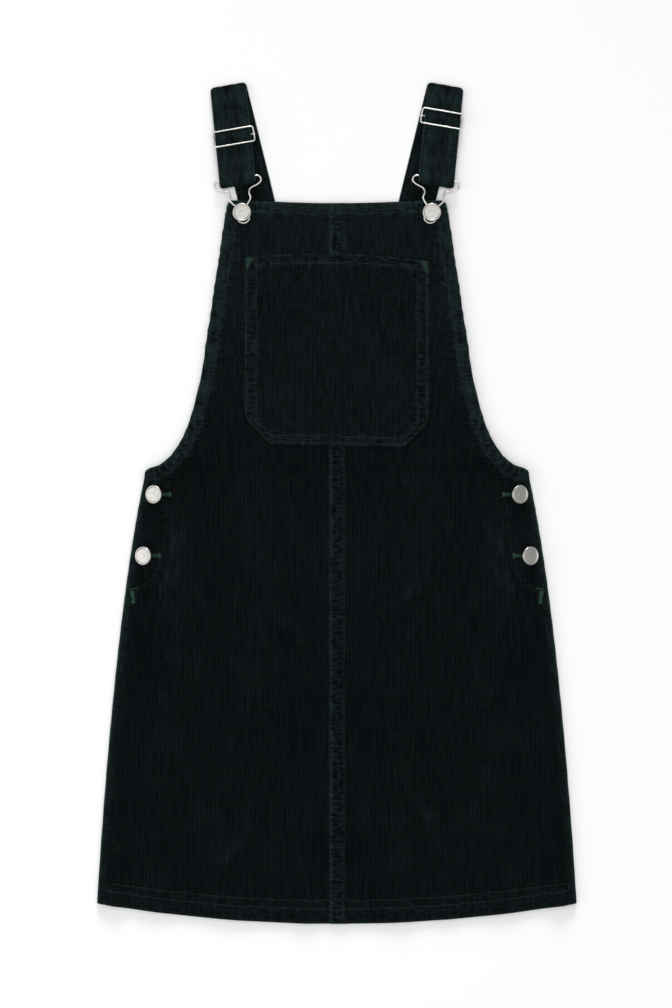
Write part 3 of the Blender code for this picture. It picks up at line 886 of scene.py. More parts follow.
    def fold_edges(self, face: ClothFace, out: Array, y: Array, height: Array) -> None:
        """Make the turned edges puffy, and bring the side edge down to the seam."""
        hem = height - FORM.hem_side
        top = FORM.bib_top - height
        inset = FORM.half_width(height) - out
        edge, run = distance_to(FORM.armhole_edge(), out, y)
        edge = np.where(height < FORM.underarm - 30, 99.0, edge)
        sewn = 1.0 - smoothstep(*FORM.opening_base, height)
        below = 1.0 - smoothstep(FORM.underarm - 4, FORM.underarm + 8, height)
        rises = (
            (0.4, 1.0 - smoothstep(self.hem_rows[0] - 2, self.hem_rows[1] + 3, hem)),
            (-0.5, 1.0 - smoothstep(0.0, 2.2, hem)),
            (0.5, 1.0 - smoothstep(self.armhole_row - 2, self.armhole_row + 3, edge)),
            (-0.7, 1.0 - smoothstep(0.0, 2.0, edge)),
            (-0.7, 1.0 - smoothstep(0.0, 2.0, top)),
            (-1.7, sewn * (1.0 - smoothstep(8.0, 17.0, inset))),
            (-0.8, sewn * (1.0 - smoothstep(8.0, 9.6, inset))),
            (-0.5, (1.0 - sewn) * below * (1.0 - smoothstep(4.5, 6.5, inset))),
        )
        # Lighter marks: the turned hem, armhole and top edges are partly rubbing and partly painted sheen
        # where the cloth rounds away; the bib and upper skirt are also painted lighter going up.
        lighter_marks = (
            (0.05, 1.0 - smoothstep(1.0, 4.0, hem)),
            (0.012, 1.0 - smoothstep(16.0, 26.0, hem)),
            (0.065, (1.0 + 0.7 * ripple(run, 7.0)) * (1.0 - smoothstep(8.0, 15.0, edge))),
            (0.1, 1.0 - smoothstep(0.5, 2.6, edge)),
            (0.07, 1.0 - smoothstep(8.0, 14.0, top)),
            (0.022, smoothstep(60.0, 260.0, height)),
            (0.006, smoothstep(-200.0, 40.0, height)),
            (0.08, 1.0 - smoothstep(0.5, 3.0, top)),
            (0.03, below * (1.0 - smoothstep(5.0, 11.0, inset))),
            (0.02, sewn * (1.0 - smoothstep(8.0, 10.0, inset))),
        )
        face.z = face.z + sum(rise * share for rise, share in rises)
        face.wear = face.wear + sum(wear * share for wear, share in lighter_marks)
        band = 1.0 - smoothstep(10.0, 17.0, np.minimum(edge, top))
        face.pucker = np.maximum(face.pucker, band)
        face.pucker = np.maximum(face.pucker, 0.4 * (1.0 - smoothstep(20.0, 28.0, hem)))

    def underarm_corner(self, out: Array, height: Array) -> Array:
        """How near places are to the underarm's corner, which the turned cloth rounds."""
        away = np.hypot(FORM.underarm_half - out, FORM.underarm - height)
        return smoothstep(8.0, 0.0, away) ** 2

    def lap_over(self, face: ClothFace, x: Array, y: Array) -> None:
        """Raise the right panel over the left one, as far as the felled seam goes."""
        if self.side is Side.LEFT:
            near = np.exp(-((np.minimum(x + self.lap, 0.0) / 2.0) ** 2))
            face.z = face.z - 0.25 * near
            face.wear = face.wear + 0.03 * near
            return
        band = 1.0 - smoothstep(*self.lap_fall, x)
        edge = 1.0 - smoothstep(-self.lap, -self.lap + 1.2, x)
        face.z = face.z + self.lap_rise * band - 0.45 * edge
        for seam in self.felled_seams():
            face.sew(seam, x, y)
        pressed = 1.0 - smoothstep(5.5, 8.5, x)
        face.wear = face.wear + 0.02 * pressed + 0.03 * edge
        face.pucker = np.maximum(face.pucker, 1.2 * pressed)

    def build(self) -> bpy.types.Object:
        """Cut the panel, lay it down and give it its wall."""
        sign = self.side.value
        inner = -self.lap if self.side is Side.RIGHT else 0.15
        steps = math.ceil((FORM.hem_half + self.lap) / self.column) + 2
        columns = np.arange(steps) * self.column - 9.0
        hem = tuple(FORM.hem_side + rise for rise in (0.8, *self.hem_rows))
        skirt = levels(FORM.hem_side, FORM.underarm, self.row, (*hem, -92.0, 35.0))
        armhole = FORM.underarm + 0.05 + FORM.armhole_length * np.linspace(0.03, 1, 26) ** 2
        bib = levels(float(armhole[-1]), FORM.bib_top, self.row, (FORM.bib_top - self.bib_row, 316.0))
        rows = np.unique(np.concatenate([skirt, armhole, bib]))

        def limits(height: float) -> tuple[float, float]:
            """The panel's two edges at a height, out from the middle."""
            return inner, float(FORM.half_width(height) - FORM.front_inset(height))

        mesh = cut_cloth(f"front_{self.side.word}_cloth", columns, rows, limits, sign < 0)
        out, height = flat_places(mesh)
        x = out * sign
        face = self.top(x, height)
        y = FORM.row_y(height, x)
        edge = smoothstep(12.0, 0.0, FORM.half_width(height) - out) * (height > FORM.underarm)
        drift = 0.55 * ripple(height, 9.0) * edge
        corner = smoothstep(7.0, 0.0, FORM.half_width(height) - out)
        y = y - 3.2 * corner**2 * smoothstep(FORM.bib_top - 8, FORM.bib_top, height)
        y = y - 2.4 * self.underarm_corner(out, height)
        lay_down(mesh, np.stack([x + sign * drift, y, face.z], axis=1), face)
        name = f"front_{self.side.word}"
        made = self.shop.piece(f"{name}_cloth", mesh, self.shop.corduroy, CLOTH_SLOT, name)
        self.shop.shell(made, self.wall)
        return made


@dataclass
class BackPanel:
    """The back panel: flat where it rests, rolled round at both sides, narrow at its top."""

    shop: Workshop
    wall: float = 1.2
    column: float = 1.0
    row: float = 8.0
    flat_inset: float = 5.0
    seam_height: float = 3.0
    rubbed_heights: tuple[float, float] = (-260.0, -120.0)
    roll: tuple[tuple[float, float], ...] = (
        (5.0, 0.0),
        (2.6, 0.25),
        (0.75, 1.3),
        (0.15, 2.7),
        (0.95, 4.5),
        (3.9, 5.95),
        (8.0, 6.35),
        (12.0, 6.4),
        (20.0, 5.65),
        (28.0, 3.3),
    )
    shoulder: tuple[float, float] = (118.0, 45.0)
    top_half: float = 85.0
    top: float = 215.0

    CREASES = (
        Crease(0.55, 14.0, (-60, 10), (-74, -140), (-96, -290), (-104, -400)),
        Crease(0.5, 16.0, (70, 10), (88, -120), (110, -260), (124, -400)),
        Crease(0.5, 12.0, (4, -60), (12, -200), (-4, -380)),
        Crease(0.55, 10.0, (-150, -60), (-168, -200), (-190, -360)),
        Crease(0.5, 10.0, (160, -90), (176, -220), (200, -380)),
        Crease(0.5, 9.0, (-120, 40), (-64, 66), (0, 62), (60, 78)),
        Crease(0.5, 8.0, (120, -40), (84, -78), (40, -96)),
        Crease(0.45, 9.0, (-30, 200), (-44, 150), (-40, 104)),
    )

    def upper_half(self, height: float) -> float:
        """Half the width of the upper back at a height."""
        start = float(FORM.half_width(FORM.roll_top)) - self.flat_inset
        a = FORM.roll_top - 2 * self.shoulder[1] + self.top
        b = 2 * (self.shoulder[1] - FORM.roll_top)
        share = (-b + math.sqrt(max(b * b - 4 * a * (FORM.roll_top - height), 0.0))) / (2 * a)
        lower = (1 - share) ** 2 * start + 2 * share * (1 - share) * self.shoulder[0]
        return lower + share**2 * self.top_half

    def roll_line(self) -> tuple[Array, Array]:
        """The roll as a fine line of insets and heights, and the run along it to each point."""
        line = np.array(rounded(list(self.roll)))
        return line, runs_along(line)

    def build(self) -> bpy.types.Object:
        """Cut the panel, roll its sides and lay it down."""
        line, runs = self.roll_line()
        upper = line[:, 1] > self.seam_height
        sewn_run = float(np.interp(FORM.seam_inset, line[upper, 0], runs[upper]))

        def reach(height: float) -> float:
            """Half the cut's width at a height, along the cloth."""
            if height > FORM.roll_top:
                return self.upper_half(height)
            sewn = 1.0 - float(smoothstep(*FORM.opening_base, height))
            run = runs[-1] + (sewn_run - runs[-1]) * sewn
            return float(FORM.half_width(height)) - self.flat_inset + run

        widest = FORM.hem_half - self.flat_inset + runs[-1]
        columns = mirrored(widest, self.column)
        lower = levels(FORM.hem_side, FORM.roll_top, self.row, (FORM.hem_side + 2.4,))
        upper = levels(FORM.roll_top + 0.3, self.top, self.row, (self.top - 1.4,))
        rows = np.concatenate([lower, upper])
        mesh = cut_cloth(
            "back_cloth", columns, rows, lambda h: (-reach(h), reach(h)), True, FORM.roll_top
        )
        across, height = flat_places(mesh)
        sign = np.sign(across)
        flat_half = FORM.half_width(height) - self.flat_inset
        over = np.where(height > FORM.roll_top, 0.0, np.maximum(np.abs(across) - flat_half, 0.0))
        inset = np.interp(over, runs, line[:, 0])
        z = np.interp(over, runs, line[:, 1])
        x = np.where(over > 0, sign * (FORM.half_width(height) - inset), across)
        y = FORM.row_y(height, x)
        tangent = ways_along(line)
        inward_x = np.interp(over, runs, np.abs(tangent[:, 1]))
        inward_z = np.interp(over, runs, -tangent[:, 0])
        hem = height - FORM.hem_side
        face = ClothFace.at(-wale_relief(across, 0.3) + 0.15 * (1.0 - smoothstep(0.0, 2.0, hem)))
        for rise in (14.7, 23.1):
            near = np.exp(-(((hem - rise) / 3.0) ** 2))
            face.z = face.z + 0.3 * near * (0.6 + 0.4 * ripple(across, 11.0))
        inland = smoothstep(0.0, 25.0, flat_half - np.abs(across))
        for crease in self.CREASES:
            face.crease(crease, across, y, inland)
        x = x - sign * inward_x * face.z * (over > 0)
        z = z + inward_z * face.z
        # Painted sheen: the rolled sides are painted lighter where the cloth rounds away, more so higher up
        # and in uneven patches, fading towards the roll's top.
        roll_sheen = 0.24 + 0.12 * smoothstep(*self.rubbed_heights, height)
        roll_sheen = roll_sheen * (0.8 + 0.35 * ripple(height, 31.0)) * smoothstep(0.5, 4.0, over)
        roll_sheen = roll_sheen * (1.0 - 0.85 * smoothstep(7.5, 11.5, over))
        face.wear = face.wear + roll_sheen
        face.wear = face.wear + 0.05 * (1.0 - smoothstep(1.0, 4.0, hem))
        face.pucker = 0.5 * smoothstep(0.5, 4.0, over) + 0.3 * (1.0 - smoothstep(20.0, 28.0, hem))
        lay_down(mesh, np.stack([x, y, z], axis=1), face)
        made = self.shop.piece("back_cloth", mesh, self.shop.corduroy, CLOTH_SLOT, "back")
        self.shop.shell(made, self.wall)
        return made


@dataclass
class BibPocket:
    """The patch pocket on the bib: arched top hem, cut-off lower corners, two rows all round."""

    shop: Workshop
    half: float = 97.0
    bottom: float = 60.0
    side_top: float = 255.0
    arch: float = 6.0
    chamfer: float = 26.5
    corner: float = 4.0
    skew: float = -0.022
    face: float = 7.45
    wall: float = 1.1
    column: float = 0.75
    row: float = 5.0
    hem: float = 9.2
    edge_row: float = 2.6
    inner_row: float = 12.4
    inner_bottom: float = 9.4
    ridge: float = 0.75

    CREASES = (
        Crease(-0.5, 9.0, (-70, 238), (-50, 200), (-44, 160), (-52, 110)),
        Crease(1.1, 10.0, (60, 234), (66, 190), (62, 140), (48, 92)),
        Crease(-0.5, 12.0, (20, 240), (12, 190), (18, 140), (8, 90)),
        Crease(0.9, 7.0, (-88, 92), (-60, 106), (-26, 100)),
        Crease(-0.5, 7.0, (88, 96), (62, 112), (34, 110)),
        Crease(1.2, 14.0, (-24, 245), (-16, 180), (-26, 108)),
        Crease(0.8, 6.0, (-80, 236), (-66, 212), (-60, 176)),
    )

    def side_limit(self, height: float) -> float:
        """Half the pocket's width at a height, its cut corners a little rounded."""
        below = self.bottom + self.chamfer - height
        return self.half - (below + math.hypot(below, self.corner)) / 2

    def top_at(self, x: Array | float) -> Array:
        """The height of the pocket's arched top."""
        return self.side_top + self.arch * (1 - (np.asarray(x) / self.half) ** 2)

    def outline(self, inset: float, bottom_inset: float) -> Line:
        """A line inside the pocket's edges, down one side, along the bottom and up the other."""
        half = self.half - inset
        cut = self.chamfer - (inset + bottom_inset) * (1 - math.tan(math.pi / 8))
        cut = max(cut, 8.0)
        low = self.bottom + bottom_inset
        top = float(self.top_at(half)) - 1.0
        right = [(half - cut, low), (half, low + cut), (half, top)]
        return [(-x, y) for x, y in reversed(right)] + right

    def seams(self) -> list[Seam]:
        """The pocket's rows of stitches, before it is set aslant."""
        xs = np.linspace(-self.half + self.inner_row, self.half - self.edge_row, 24)
        return [
            Seam(self.outline(self.edge_row, self.edge_row), wave=8.0, rise=0.25, pucker=0.8),
            Seam(self.outline(self.inner_row, self.inner_bottom), wave=8.5, rise=0.25, pucker=0.8),
            Seam(list(zip(xs, self.top_at(xs) - self.hem)), wear=0.08, wave=8.0, pucker=0.9),
        ]

    def top(self, x: Array, y: Array, fine: bool = True) -> ClothFace:
        """The pocket's outer face at places on it before it is set aslant."""
        face = ClothFace.at(np.full(x.shape, self.face) + self.ridge * np.exp(-((x / 13.0) ** 2)))
        for seam in self.seams():
            face.sew(seam, x, y)
        inside = smoothstep(self.inner_row, self.inner_row + 14, self.half - np.abs(x))
        for crease in self.CREASES:
            face.crease(crease, x, y, inside)
        side = np.array([self.side_limit(h) for h in y]) - np.abs(x)
        slant = np.where(y < self.bottom + self.chamfer, side * math.cos(math.pi / 4), side)
        edge = np.minimum(slant, np.minimum(y - self.bottom, self.top_at(x) - y))
        rim = 1.0 - smoothstep(0.5, 2.6, edge)
        band = 1.0 - smoothstep(9.0, 15.0, edge)
        face.z = face.z - 0.6 * (1.0 - smoothstep(0.0, 1.8, edge)) + 0.3 * band
        face.wear = face.wear + 0.018 + 0.045 * rim + 0.012 * band
        face.pucker = np.maximum(face.pucker, band)
        if fine:
            face.z = face.z + wale_relief(x)
        return face

    def build(self) -> bpy.types.Object:
        """Cut the pocket, lay it on the bib and give it its wall."""
        columns = mirrored(self.half, self.column)
        features = (self.bottom + self.edge_row, self.bottom + self.inner_bottom)
        rows = levels(self.bottom, self.side_top, self.row, (*features, self.side_top - self.hem, 254.0))

        def limits(height: float) -> tuple[float, float]:
            """The pocket's two edges at a height."""
            return -self.side_limit(height), self.side_limit(height)

        mesh = cut_cloth("bib_pocket_cloth", columns, rows, limits)
        x, height = flat_places(mesh)
        rise = self.arch * (1 - (x / self.half) ** 2)
        y = height + rise * smoothstep(self.bottom + 40, self.side_top - self.hem, height)
        face = self.top(x, y)
        lay_down(mesh, np.stack([x, y + self.skew * x, face.z], axis=1), face)
        made = self.shop.piece("bib_pocket_cloth", mesh, self.shop.corduroy, CLOTH_SLOT, "bib_pocket")
        self.shop.shell(made, self.wall)
        return made


@dataclass
class Strap:
    """A strap: a double band that folds at the shoulder and turns round the slider and hook."""

    shop: Workshop
    side: Side
    slider_drop: float
    width: float = 38.0
    cloth: float = 1.8
    gap: float = 0.3
    turn: float = math.radians(9.75)
    spread: float = math.tan(math.radians(4.05))
    shoulder: tuple[float, float] = (114.3, 438.5)
    fold_radius: float = 1.5
    end: float = 271.0
    lift: tuple[float, float] = (205.0, 224.0)
    turn_drop: float = 103.9
    hook_drop: float = 98.9
    slider_wire: float = 0.9
    slider_half: float = 7.9
    hook_wire: float = 1.0
    under_slider: float = 19.7
    turn_ramp: tuple[float, float] = (19.0, 8.5)
    fold_steps: int = 12
    row: float = 2.5
    column: float = 0.75
    edge_row: float = 4.0
    lowest: float = 0.05

    def path(self) -> Array:
        """The strap's run: the way it drifts, how far down it is, and its middle height."""
        half = self.cloth / 2
        returning = self.cloth + self.gap + half
        covering = returning + self.cloth + self.gap
        crest = returning + half + 2 * (self.gap + self.slider_wire) + half
        fold_top = half + 2 * self.fold_radius
        on_back = 1.5 + self.gap + half
        hook_turn = self.hook_wire + self.gap + half
        points = [
            (1, self.end, on_back),
            (1, self.lift[1], on_back),
            (1, self.lift[0], half),
            (1, (self.lift[0] + self.turn_drop) / 2, half),
            (1, self.turn_drop / 2, half),
        ]
        centre = self.fold_radius + half
        for step in range(self.fold_steps + 1):
            turn = math.pi * step / self.fold_steps
            drop = centre - self.fold_radius * math.sin(turn)
            height = half + self.fold_radius * (1 - math.cos(turn))
            points.append((1 - 2 * step / self.fold_steps, drop, height))
        points += [
            (-1, self.slider_drop - self.under_slider, fold_top),
            (-1, self.slider_drop - self.slider_half, covering),
            (-1, self.slider_drop, crest),
            (-1, self.slider_drop + self.slider_half, covering),
            (-1, self.turn_drop - self.turn_ramp[0], covering),
            (-1, self.turn_drop - self.turn_ramp[1], returning + 2 * hook_turn - self.gap),
        ]
        for step in range(self.fold_steps + 1):
            turn = math.pi * step / self.fold_steps
            drop = self.turn_drop + hook_turn * math.sin(turn)
            points.append((-1, drop, returning + hook_turn * (1 + math.cos(turn))))
        points.append((-1, self.slider_drop - self.slider_wire, returning))
        return np.array(points, float)

    def fine_path(self) -> tuple[Array, Array]:
        """The run at close even steps, and the run's length to each."""
        points = self.path()
        runs = runs_along(points[:, 1:])
        close = np.unique(np.concatenate([np.arange(0.0, runs[-1], self.row), runs]))
        close = close[np.concatenate([[True], np.diff(close) > 0.25])]
        fine = np.stack([np.interp(close, runs, points[:, i]) for i in range(3)], axis=1)
        return fine, close

    def to_dress(self, local: Array) -> Array:
        """Bring points from the strap's frame, its crease along X, to the dress's."""
        angle = -self.side.value * self.turn
        x = local[:, 0] * math.cos(angle) - local[:, 1] * math.sin(angle)
        y = local[:, 0] * math.sin(angle) + local[:, 1] * math.cos(angle)
        return np.stack([x + self.side.value * self.shoulder[0], y + self.shoulder[1], local[:, 2]], axis=1)

    def surface(self, across: Array, run: Array, out: Array) -> Array:
        """Points of the band.

        Args:
            across: Places across it, from its middle.
            run: Places along its run.
            out: How far each is from the band's middle, towards its outer face.

        Returns:
            The points on the dress, one a row.
        """
        fine, runs = self.fine_path()
        way = ways_along(fine[:, 1:], runs)
        drift, drop, height = (np.interp(run, runs, fine[:, i]) for i in range(3))
        down = np.interp(run, runs, way[:, 0])
        up = np.interp(run, runs, way[:, 1])
        size = np.maximum(np.hypot(down, up), 0.05)
        down, up = down / size, up / size
        x = -self.side.value * (drift * drop * self.spread + across)
        corner = smoothstep(4.0, 0.0, self.width / 2 - np.abs(across)) ** 2
        y = drop + up * out
        at_fold = np.exp(-((drop / 4.0) ** 2))
        at_turn = np.exp(-(((drop - self.turn_drop) / 4.0) ** 2))
        y = y + corner * 2.0 * (at_fold - at_turn)
        z = np.maximum(height - down * out, self.lowest)
        return self.to_dress(np.stack([x, -y, z], axis=1))

    def relief(self, across: Array, run: Array) -> ClothFace:
        """How the band's faces swell and crease, and how much rubbing and painted sheen their pile has.

        The stretch behind, before the shoulder's fold, is painted darker than the one in front: painted
        shade, with less rubbing there too.
        """
        edge = self.width / 2 - np.abs(across)
        in_front = smoothstep(self.end - 6.0, self.end + 6.0, run)
        face = ClothFace.at(wale_relief(across, 0.34))
        bands = np.exp(-(((np.abs(across) - 12.5) / 4.5) ** 2))
        # Painted shade: in_front keeps the stretch behind the shoulder's fold darker, on top of its lesser
        # rubbing.
        face.wear = (0.035 + 0.02 * ripple(run, 31.0) + 0.07 * bands) * (0.2 + 0.8 * in_front)
        for offset in (-1, 1):
            gap = np.abs(across - offset * (self.width / 2 - self.edge_row))
            near = np.exp(-((gap / 5.0) ** 2))
            face.z = face.z - 0.3 * np.exp(-((gap / 1.0) ** 2)) + 0.16 * ripple(run + 7 * offset, 7.5) * near
            face.wear = face.wear + 0.02 * np.exp(-((gap / 2.0) ** 2))
            face.pucker = np.maximum(face.pucker, 0.7 * near)
        for place, depth, phase in ((-7.0, 0.35, 3.0), (1.5, -0.3, 29.0), (9.0, 0.3, 51.0)):
            near = np.exp(-(((across - place - 2.0 * ripple(run + phase, 60.0)) / 3.0) ** 2))
            face.z = face.z - depth * near * (0.6 + 0.4 * ripple(run + phase, 38.0))
            face.wear = face.wear + 0.035 * near * in_front * (1.0 + ripple(run + phase, 23.0))
        face.wear = face.wear + (0.08 + 0.08 * in_front) * (1.0 - smoothstep(0.4, 2.4, edge))
        return face

    def build(self) -> bpy.types.Object:
        """Make the band: a grid bent into a flat tube, closed at its two ends."""
        _, runs = self.fine_path()
        half = self.width / 2
        count = round(self.width / self.column)
        face = np.linspace(-half, half, count + 1)
        around = np.concatenate([face, face[-2::-1]])
        sign = np.concatenate([np.ones(count + 1), -np.ones(count)])
        bm = bmesh.new()
        across, along = len(around) - 1, len(runs) - 1
        bmesh.ops.create_grid(bm, x_segments=across, y_segments=along, size=0.5)
        layer = bm.loops.layers.uv.new("cut")
        places = {v: (round((v.co.x + 0.5) * across), round((v.co.y + 0.5) * along)) for v in bm.verts}
        for bm_face in bm.faces:
            for loop in bm_face.loops:
                i, j = places[loop.vert]
                loop[layer].uv = (around[i] * MM, runs[j] * MM)
        order = [places[v] for v in bm.verts]
        u = np.array([around[i] for i, _ in order])
        faces = np.array([sign[i] for i, _ in order])
        run = np.array([runs[j] for _, j in order])
        face = self.relief(u, run)
        thick = (self.cloth / 2 + face.z) * (1 - np.clip(np.abs(u) / half, 0, 1) ** 14)
        points = self.surface(u, run, faces * np.maximum(thick, 0.0)) * MM
        worn, puckered = (bm.verts.layers.float.new(name) for name in ("wear", "pucker"))
        for vert, point, wear, pucker in zip(bm.verts, points, face.wear, face.pucker):
            vert.co = point
            vert[worn] = wear
            vert[puckered] = pucker
        bmesh.ops.remove_doubles(bm, verts=bm.verts, dist=0.01 * MM)
        bmesh.ops.holes_fill(bm, edges=[e for e in bm.edges if e.is_boundary], sides=0)
        bmesh.ops.recalc_face_normals(bm, faces=bm.faces)
        name = f"strap_{self.side.word}"
        mesh = to_mesh(bm, f"{name}_cloth")
        made = self.shop.piece(f"{name}_cloth", mesh, self.shop.corduroy, CLOTH_SLOT, name)
        return made


# ---------------------------------------------------------------- stitches


@dataclass
class Stitching:
    """Thread on the dress: each stitch a small spindle between two points on the cloth."""

    shop: Workshop
    name: str
    material: bpy.types.Material
    width: float = 0.5
    sides: int = 6
    rings: int = 4
    ends: list[tuple[Array, Array]] = field(default_factory=list)

    def spindle(self) -> tuple[Array, list[list[int]]]:
        """The points and faces of a stitch one unit wide and long, along Z."""
        bm = bmesh.new()
        bmesh.ops.create_uvsphere(bm, u_segments=self.sides, v_segments=self.rings, radius=0.5)
        points = np.array([vert.co for vert in bm.verts])
        faces = [[vert.index for vert in face.verts] for face in bm.faces]
        bm.free()
        return points, faces

    def row(
        self,
        line: Line,
        lay: Callable[[Array, Array], Array],
        pitch: float = 3.6,
        length: float = 2.9,
        skip: Callable[[float, float], bool] = lambda x, y: False,
    ) -> None:
        """Sew a row.

        Args:
            line: The row's line on the cloth.
            lay: Gives where places on the cloth lie.
            pitch: From one stitch to the next.
            length: Of one stitch.
            skip: Says where something covers the row.
        """
        centres = walk(line, pitch)
        ways = ways_along(centres)
        starts = centres - ways * length / 2
        ends = centres + ways * length / 2
        first = lay(starts[:, 0], starts[:, 1])
        last = lay(ends[:, 0], ends[:, 1])
        for centre, a, b in zip(centres, first, last):
            if not skip(centre[0], centre[1]):
                self.ends.append((a, b))

    def satin(
        self,
        line: Line,
        lay: Callable[[Array, Array], Array],
        width: float,
        pitch: float = 0.75,
    ) -> None:
        """Sew a close bar of stitches that lie across a line."""
        centres = walk(line, pitch)
        ways = ways_along(centres)
        across = np.stack([-ways[:, 1], ways[:, 0]], axis=1) * width / 2
        self.ends += zip(lay(*(centres - across).T), lay(*(centres + across).T))

    def wedge(
        self,
        outer: tuple[float, float],
        inner: tuple[float, float],
        drop: float,
        lay: Callable[[Array, Array], Array],
        pitch: float = 1.3,
    ) -> None:
        """Sew a corner tack: level stitches from an outer edge, shorter and shorter going down."""
        share = np.arange(0.0, 1.0, pitch / drop)
        ys = outer[1] - share * drop
        ends = inner[0] + (outer[0] - inner[0]) * 0.8 * share**0.7
        self.ends += zip(lay(np.full(ys.shape, outer[0]), ys), lay(ends, ys - 0.6))

    def finish(self) -> bpy.types.Object:
        """Make the thread one piece: a copy of the spindle at each stitch."""
        points, faces = self.spindle()
        places: list[Array] = []
        joined: list[list[int]] = []
        for start, end in self.ends:
            way = (end - start) / np.linalg.norm(end - start)
            side = np.cross((0.0, 0.0, 1.0), way)
            side /= np.linalg.norm(side)
            axes = np.stack([side * self.width, np.cross(way, side) * self.width, end - start])
            joined += [[index + len(places) * len(points) for index in face] for face in faces]
            places.append((start + end) / 2 + points @ axes)
        mesh = bpy.data.meshes.new(self.name)
        mesh.from_pydata((np.concatenate(places) * MM).tolist(), [], joined)
        return self.shop.piece(self.name, mesh, self.material, CLOTH_SLOT)


@dataclass
class Sewing:
    """All the sewing that shows: topstitching, bar tacks and buttonholes."""

    shop: Workshop
    panels: dict[Side, FrontPanel]
    pocket: BibPocket
    proud: float = 0.12

    def on_panel(self, side: Side) -> Callable[[Array, Array], Array]:
        """Where a place given on the right side of the dress lies on a front panel."""

        def lay(out: Array, y: Array) -> Array:
            """Lay places just on the panel's face."""
            x = out * side.value
            face = self.panels[side].top(x, FORM.height_at(x, y), fine=False)
            return np.stack([x, y, face.z + self.proud], axis=1)

        return lay

    def on_pocket(self, x: Array, y: Array) -> Array:
        """Where a place on the pocket lies."""
        face = self.pocket.top(x, y, fine=False)
        return np.stack([x, y + self.pocket.skew * x, face.z + self.proud], axis=1)

    def under_pocket(self, x: float, y: float) -> bool:
        """Whether the pocket covers a place."""
        return abs(x) < self.pocket.half - 4 and self.pocket.bottom < y < self.pocket.side_top + 5

    def topstitch(self) -> None:
        """Sew the rows on the panels, the pocket and the straps."""
        for side, panel in self.panels.items():
            thread = Stitching(self.shop, f"topstitching_{side.word}", self.shop.thread)
            for seam in panel.seams():
                thread.row(seam.line, self.on_panel(side), length=seam.stitch)
            thread.finish()
        felled = Stitching(self.shop, "centre_seam_stitching", self.shop.thread)
        for seam in self.panels[Side.RIGHT].felled_seams():
            felled.row(seam.line, self.on_panel(Side.RIGHT), skip=self.under_pocket)
        felled.finish()
        patch = Stitching(self.shop, "pocket_stitching", self.shop.thread)
        for seam in self.pocket.seams():
            patch.row(seam.line, self.on_pocket)
        patch.finish()

    def bar_tacks(self) -> None:
        """Sew the close bars that hold the pocket's corners and the openings' bases."""
        tacks = Stitching(self.shop, "bar_tacks", self.shop.tack_thread, width=0.55)
        pocket = self.pocket
        for sign in (-1, 1):
            x = sign * (pocket.half - pocket.edge_row)
            inner = sign * (pocket.half - pocket.inner_row + 0.5)
            top = float(pocket.top_at(x)) - 1.6
            tacks.wedge((x + sign * 1.2, top + 1.0), (inner, top + 1.0), 13.0, self.on_pocket)
        for side in Side:
            lay = self.on_panel(side)
            tacks.satin([(217.0, -90.6), (208.0, -89.2)], lay, 1.1)
            tacks.satin([(214.6, -92.2), (213.4, -106.0)], lay, 5.4)
            for level in Level:
                self.buttonhole(tacks, side, level, lay)
        tacks.finish()

    def buttonhole(
        self, tacks: Stitching, side: Side, level: Level, lay: Callable[[Array, Array], Array]
    ) -> None:
        """Sew a buttonhole that points in from its button, its eye end splayed."""
        height = level.value
        button = float(FORM.half_width(height)) - SIDE_BUTTON_INSET
        y = float(FORM.row_y(height, button))
        end = button - 17.4
        for sign in (-1, 1):
            tacks.satin([(button - 2.0, y + sign * 1.0), (end + 6.0, y + sign * 1.0)], lay, 1.6)
        for start, stop, width in ((6.2, 4.4, 3.6), (4.3, 2.4, 4.8), (2.3, 0.0, 6.2)):
            tacks.satin([(end + start, y), (end + stop, y)], lay, width)


# ---------------------------------------------------------------- hardware


